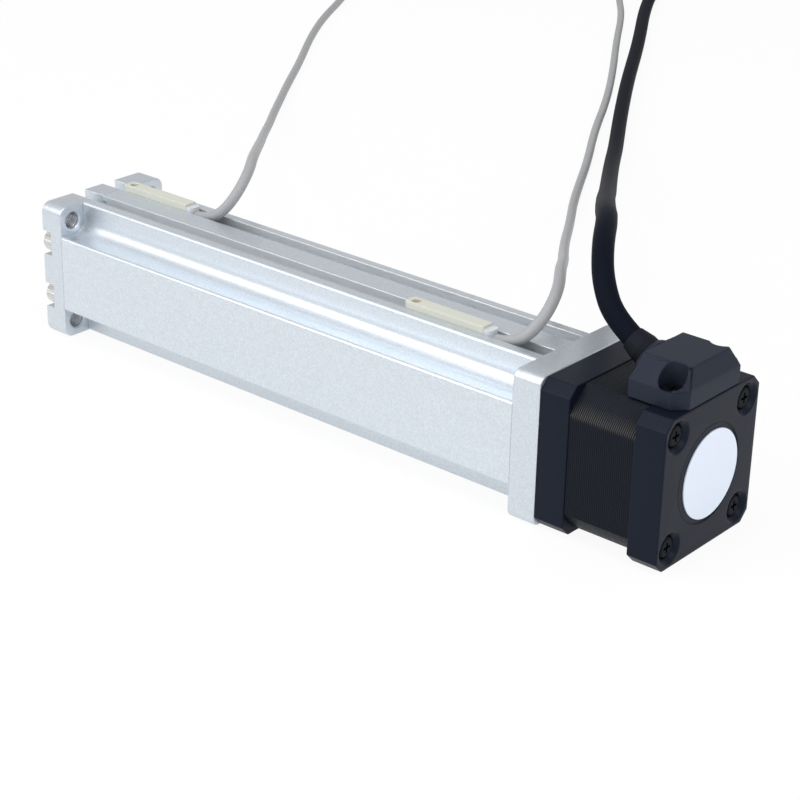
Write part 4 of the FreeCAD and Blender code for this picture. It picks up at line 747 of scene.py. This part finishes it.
# Sensors: ivory moulded switches that slide in the slots, each with a clear light window
# at its tail and a small brass set screw that jams it in place.
ivory = Finish("ivory moulding", Specular_IOR_Level=0.35)
ivory_cloud = ivory.noise(4 * MM)
ivory.set("Base Color", ivory.mix(ivory_cloud * 0.6, (0.62, 0.63, 0.56), (0.55, 0.56, 0.49)))
ivory.set("Roughness", 0.28 + 0.12 * ivory.noise(0.4 * MM))
clear = Finish("clear moulding", (0.84, 0.88, 0.92), rough=0.15, Transmission_Weight=0.25, IOR=1.49)
brass = Finish("brass set screw", (0.60, 0.50, 0.30), metal=1.0)
brass.set("Roughness", 0.25 + 0.15 * brass.noise(0.4 * MM))
for side in ("near", "far"):
    switch = eased(f"{side}_sensor_body", f"{side}_switch", 0.3, segments=3)
    finished(switch, ivory, "sensor_plastic", f"{side}_sensor_body")
    paint(clear, f"{side}_sensor_window")
    paint(brass, f"{side}_sensor_screw")


# Cords: a black jacketed motor cable and two grey sensor leads. Each rises over the
# cylinder, runs away along the surface behind it and is put away in a coil.
def wound(route, turn, mean, radius, turns, flat_turns, per_turn=16):
    """The points of a coil that carries on from the end of a route: flat_turns in a spiral on
    the surface, a climb of a third of a turn, and the rest in a spiral on top. The line cuts
    its points' corners, so the points stand a little wide of it."""
    before, end = (Vector(point[:2]) for point in route[-2:])
    heading = (end - before).normalized()
    middle = end + Vector((-heading.y, heading.x)) * turn * (mean + radius)
    start = math.atan2(end.y - middle.y, end.x - middle.x)
    width, climb = 2 * radius, 0.35
    wide = 1 / math.cos(math.pi / per_turn) ** 0.7
    points = []
    for i in range(1, int(turns * per_turn) + 1):
        share = i / per_turn
        inward = min(share, flat_turns + climb)
        outward = max(share - flat_turns - climb, 0)
        ring = (mean + radius - width * inward + width * outward) * wide
        height = radius + width * min(max((share - flat_turns) / climb, 0), 1)
        angle = start + turn * 2 * math.pi * share
        points.append((middle.x + ring * math.cos(angle), middle.y + ring * math.sin(angle), height))
    return points


def cord(name, points, radius, finish, slot, nodes):
    """One smooth line along the route's own points, as thick as the real cord."""
    curve = bpy.data.curves.new(name, "CURVE")
    curve.dimensions = "3D"
    curve.bevel_depth, curve.bevel_resolution = radius * MM, 6
    curve.resolution_u, curve.use_fill_caps = 10, True
    spline = curve.splines.new("NURBS")
    spline.points.add(len(points) - 1)
    for point, place in zip(spline.points, points):
        point.co = (*(Vector(place) * MM), 1)
    spline.order_u = 3
    spline.use_endpoint_u = True
    obj = bpy.data.objects.new(name, curve)
    bpy.context.scene.collection.objects.link(obj)
    finished(obj, finish, slot, *nodes)


def jacket(name, colour, rough, gloss):
    """The soft skin of a cord."""
    finish = Finish(name, colour, Specular_IOR_Level=gloss, Specular_Tint=BLUE_SHEEN)
    skin = finish.noise(0.6 * MM, detail=2.0)
    finish.set("Roughness", rough - 0.06 + 0.14 * skin)
    finish.bump(skin, 0.01 * MM)
    return finish


# Radii, and the routes' points, in millimetres. Where a cord lies on the surface, it lies as
# high as its radius.
LEAD, CABLE = 1.65, 3.0
CABLE_ROUTE = [
    (-97.0, 0.0, 49.1), (-87.6, 0.0, 54.1), (-80.0, -4.4, 61.6), (-73.0, -13.6, 67.4),
    (-64.8, -27.0, 68.8), (-53.0, -43.0, 64.2), (-32.0, -73.5, 53.0), (-10.0, -105.5, 41.3),
    (11.0, -137.0, 30.3), (31.0, -166.5, 20.8), (49.5, -194.0, 13.5), (66.0, -219.0, 8.2),
    (80.5, -242.0, 5.2), (95.5, -265.0, 3.5), (112.5, -291.5, CABLE),
    (137.0, -331.0, CABLE), (168.5, -384.5, CABLE), (206.0, -444.0, CABLE),
    (228.5, -489.0, CABLE), (250.0, -530.0, CABLE),
]
CABLE_TAIL = [(203.5, -578.2, 2.8 * CABLE), (188.5, -576.5, 2.4 * CABLE), (174.5, -573.6, 2 * CABLE)]
NEAR_ROUTE = [
    (-54.3, 6.2, 40.9), (-59.0, 6.4, 41.4), (-64.8, 5.8, 45.0), (-66.8, 0.8, 50.2),
    (-64.9, -6.4, 54.8), (-57.5, -17.0, 54.6), (-46.0, -33.5, 48.5), (-31.5, -54.5, 40.3),
    (-13.5, -79.5, 30.3), (3.5, -103.5, 21.5), (17.5, -123.5, 15.0), (30.5, -143.0, 10.0),
    (43.5, -162.5, 6.0), (56.0, -181.0, 3.5), (69.0, -202.0, LEAD), (85.0, -230.0, LEAD),
    (106.0, -263.5, LEAD), (127.5, -302.0, LEAD), (152.0, -341.0, LEAD),
    (179.0, -381.5, LEAD), (206.5, -425.0, LEAD), (228.0, -452.5, LEAD), (247.0, -481.0, LEAD),
]
FAR_ROUTE = [
    (71.0, -6.2, 40.9), (66.3, -6.3, 41.3), (60.6, -6.8, 44.6), (58.4, -10.8, 49.8),
    (60.4, -18.0, 54.8), (69.0, -28.5, 54.8), (84.0, -45.0, 49.2), (104.5, -67.0, 41.0),
    (129.5, -94.0, 31.0), (153.0, -119.0, 21.5), (173.5, -141.5, 14.0), (190.5, -161.5, 9.0),
    (206.5, -180.5, 5.5), (223.0, -201.5, 3.0), (240.0, -224.0, LEAD), (260.0, -253.0, LEAD),
    (284.0, -285.5, LEAD), (304.5, -316.5, LEAD), (323.0, -350.5, LEAD), (341.0, -379.0, LEAD),
]
black_jacket = jacket("black cable jacket", (0.0045, 0.006, 0.012), rough=0.55, gloss=0.05)
grey_jacket = jacket("grey lead jacket", (0.37, 0.375, 0.385), rough=0.45, gloss=0.4)
cable_coil = wound(CABLE_ROUTE, turn=-1, mean=11 * CABLE, radius=CABLE, turns=2.3, flat_turns=1)
cord("motor_cable_line", CABLE_ROUTE + cable_coil + CABLE_TAIL, CABLE, black_jacket, "black_cord",
     ("motor_cable", "motor_cable_coil", "motor_cable_tail"))
for side, route, coil_turns in (("near", NEAR_ROUTE, 3.55), ("far", FAR_ROUTE, 4.6)):
    lead_coil = wound(route, turn=1, mean=12 * LEAD, radius=LEAD, turns=coil_turns, flat_turns=2)
    cord(f"{side}_lead_line", route + lead_coil, LEAD, grey_jacket, "grey_cord",
         (f"{side}_sensor_lead", f"{side}_sensor_lead_coil"))

# Studio: a pale floor that fades into a white surround, one broad soft lamp from the
# camera's left, a lower one from the right, and a strip above.
REACH = 6.0
SEEN_GLOW, MIRRORED_GLOW = 0.92, 0.62
floor = new_piece("floor", bpy.data.meshes.new("floor"))
floor.data.from_pydata(
    [(-REACH, -REACH, 0), (REACH, -REACH, 0), (REACH, REACH, 0), (-REACH, REACH, 0)], [], [(0, 1, 2, 3)])
ground = Finish("pale floor", (0.90, 0.90, 0.90), rough=0.9)
seen = ground.node("ShaderNodeLightPath", output="Is Camera Ray")
mirrored = ground.node("ShaderNodeLightPath", output="Is Glossy Ray")
passed = ground.node("ShaderNodeLightPath", output="Is Transmission Ray")
glow = ground.node("ShaderNodeEmission", {}, {"Color": (1, 1, 1, 1), "Strength": 1.0})
shown = ground.node("ShaderNodeMixShader", {}, {
    0: (seen * SEEN_GLOW + mirrored * MIRRORED_GLOW + passed * SEEN_GLOW).clamp(),
    1: Wire(ground, ground.shader.outputs[0]), 2: glow,
})
ground.tree.links.new(shown.socket, ground.tree.nodes["Material Output"].inputs[0])
floor.data.materials.append(ground.material)

AMBIENT = 0.60
world = bpy.data.worlds.new("surround")
bpy.context.scene.world = world
world.use_nodes = True
sky = world.node_tree
light_path = sky.nodes.new("ShaderNodeLightPath")
shows = sky.nodes.new("ShaderNodeMath")
shows.operation = "MAXIMUM"
sky.links.new(light_path.outputs["Is Camera Ray"], shows.inputs[0])
sky.links.new(light_path.outputs["Is Transmission Ray"], shows.inputs[1])
strength = sky.nodes.new("ShaderNodeMapRange")
strength.inputs["To Min"].default_value = AMBIENT
strength.inputs["To Max"].default_value = 1.0
sky.links.new(shows.outputs[0], strength.inputs["Value"])
sky.nodes["Background"].inputs["Color"].default_value = (1, 1, 1, 1)
sky.links.new(strength.outputs[0], sky.nodes["Background"].inputs["Strength"])


def lamp(name, place, aim, size, power):
    light = bpy.data.lights.new(name, "AREA")
    light.shape, light.size, light.size_y, light.energy = "RECTANGLE", *size, power
    obj = bpy.data.objects.new(name, light)
    obj.location = place
    obj.rotation_euler = (Vector(aim) - Vector(place)).to_track_quat("-Z", "Y").to_euler()
    bpy.context.scene.collection.objects.link(obj)


lamp("key", (0.5, 0.9, 0.7), (0.0, 0.0, 0.0), (0.9, 0.7), 6.0)
lamp("fill", (-1.0, 0.1, 0.6), (-0.1, 0.0, 0.0), (0.6, 0.5), 2.5)
lamp("top", (0.0, 0.3, 1.15), (0.0, 0.0, 0.0), (1.2, 0.5), 4.5)
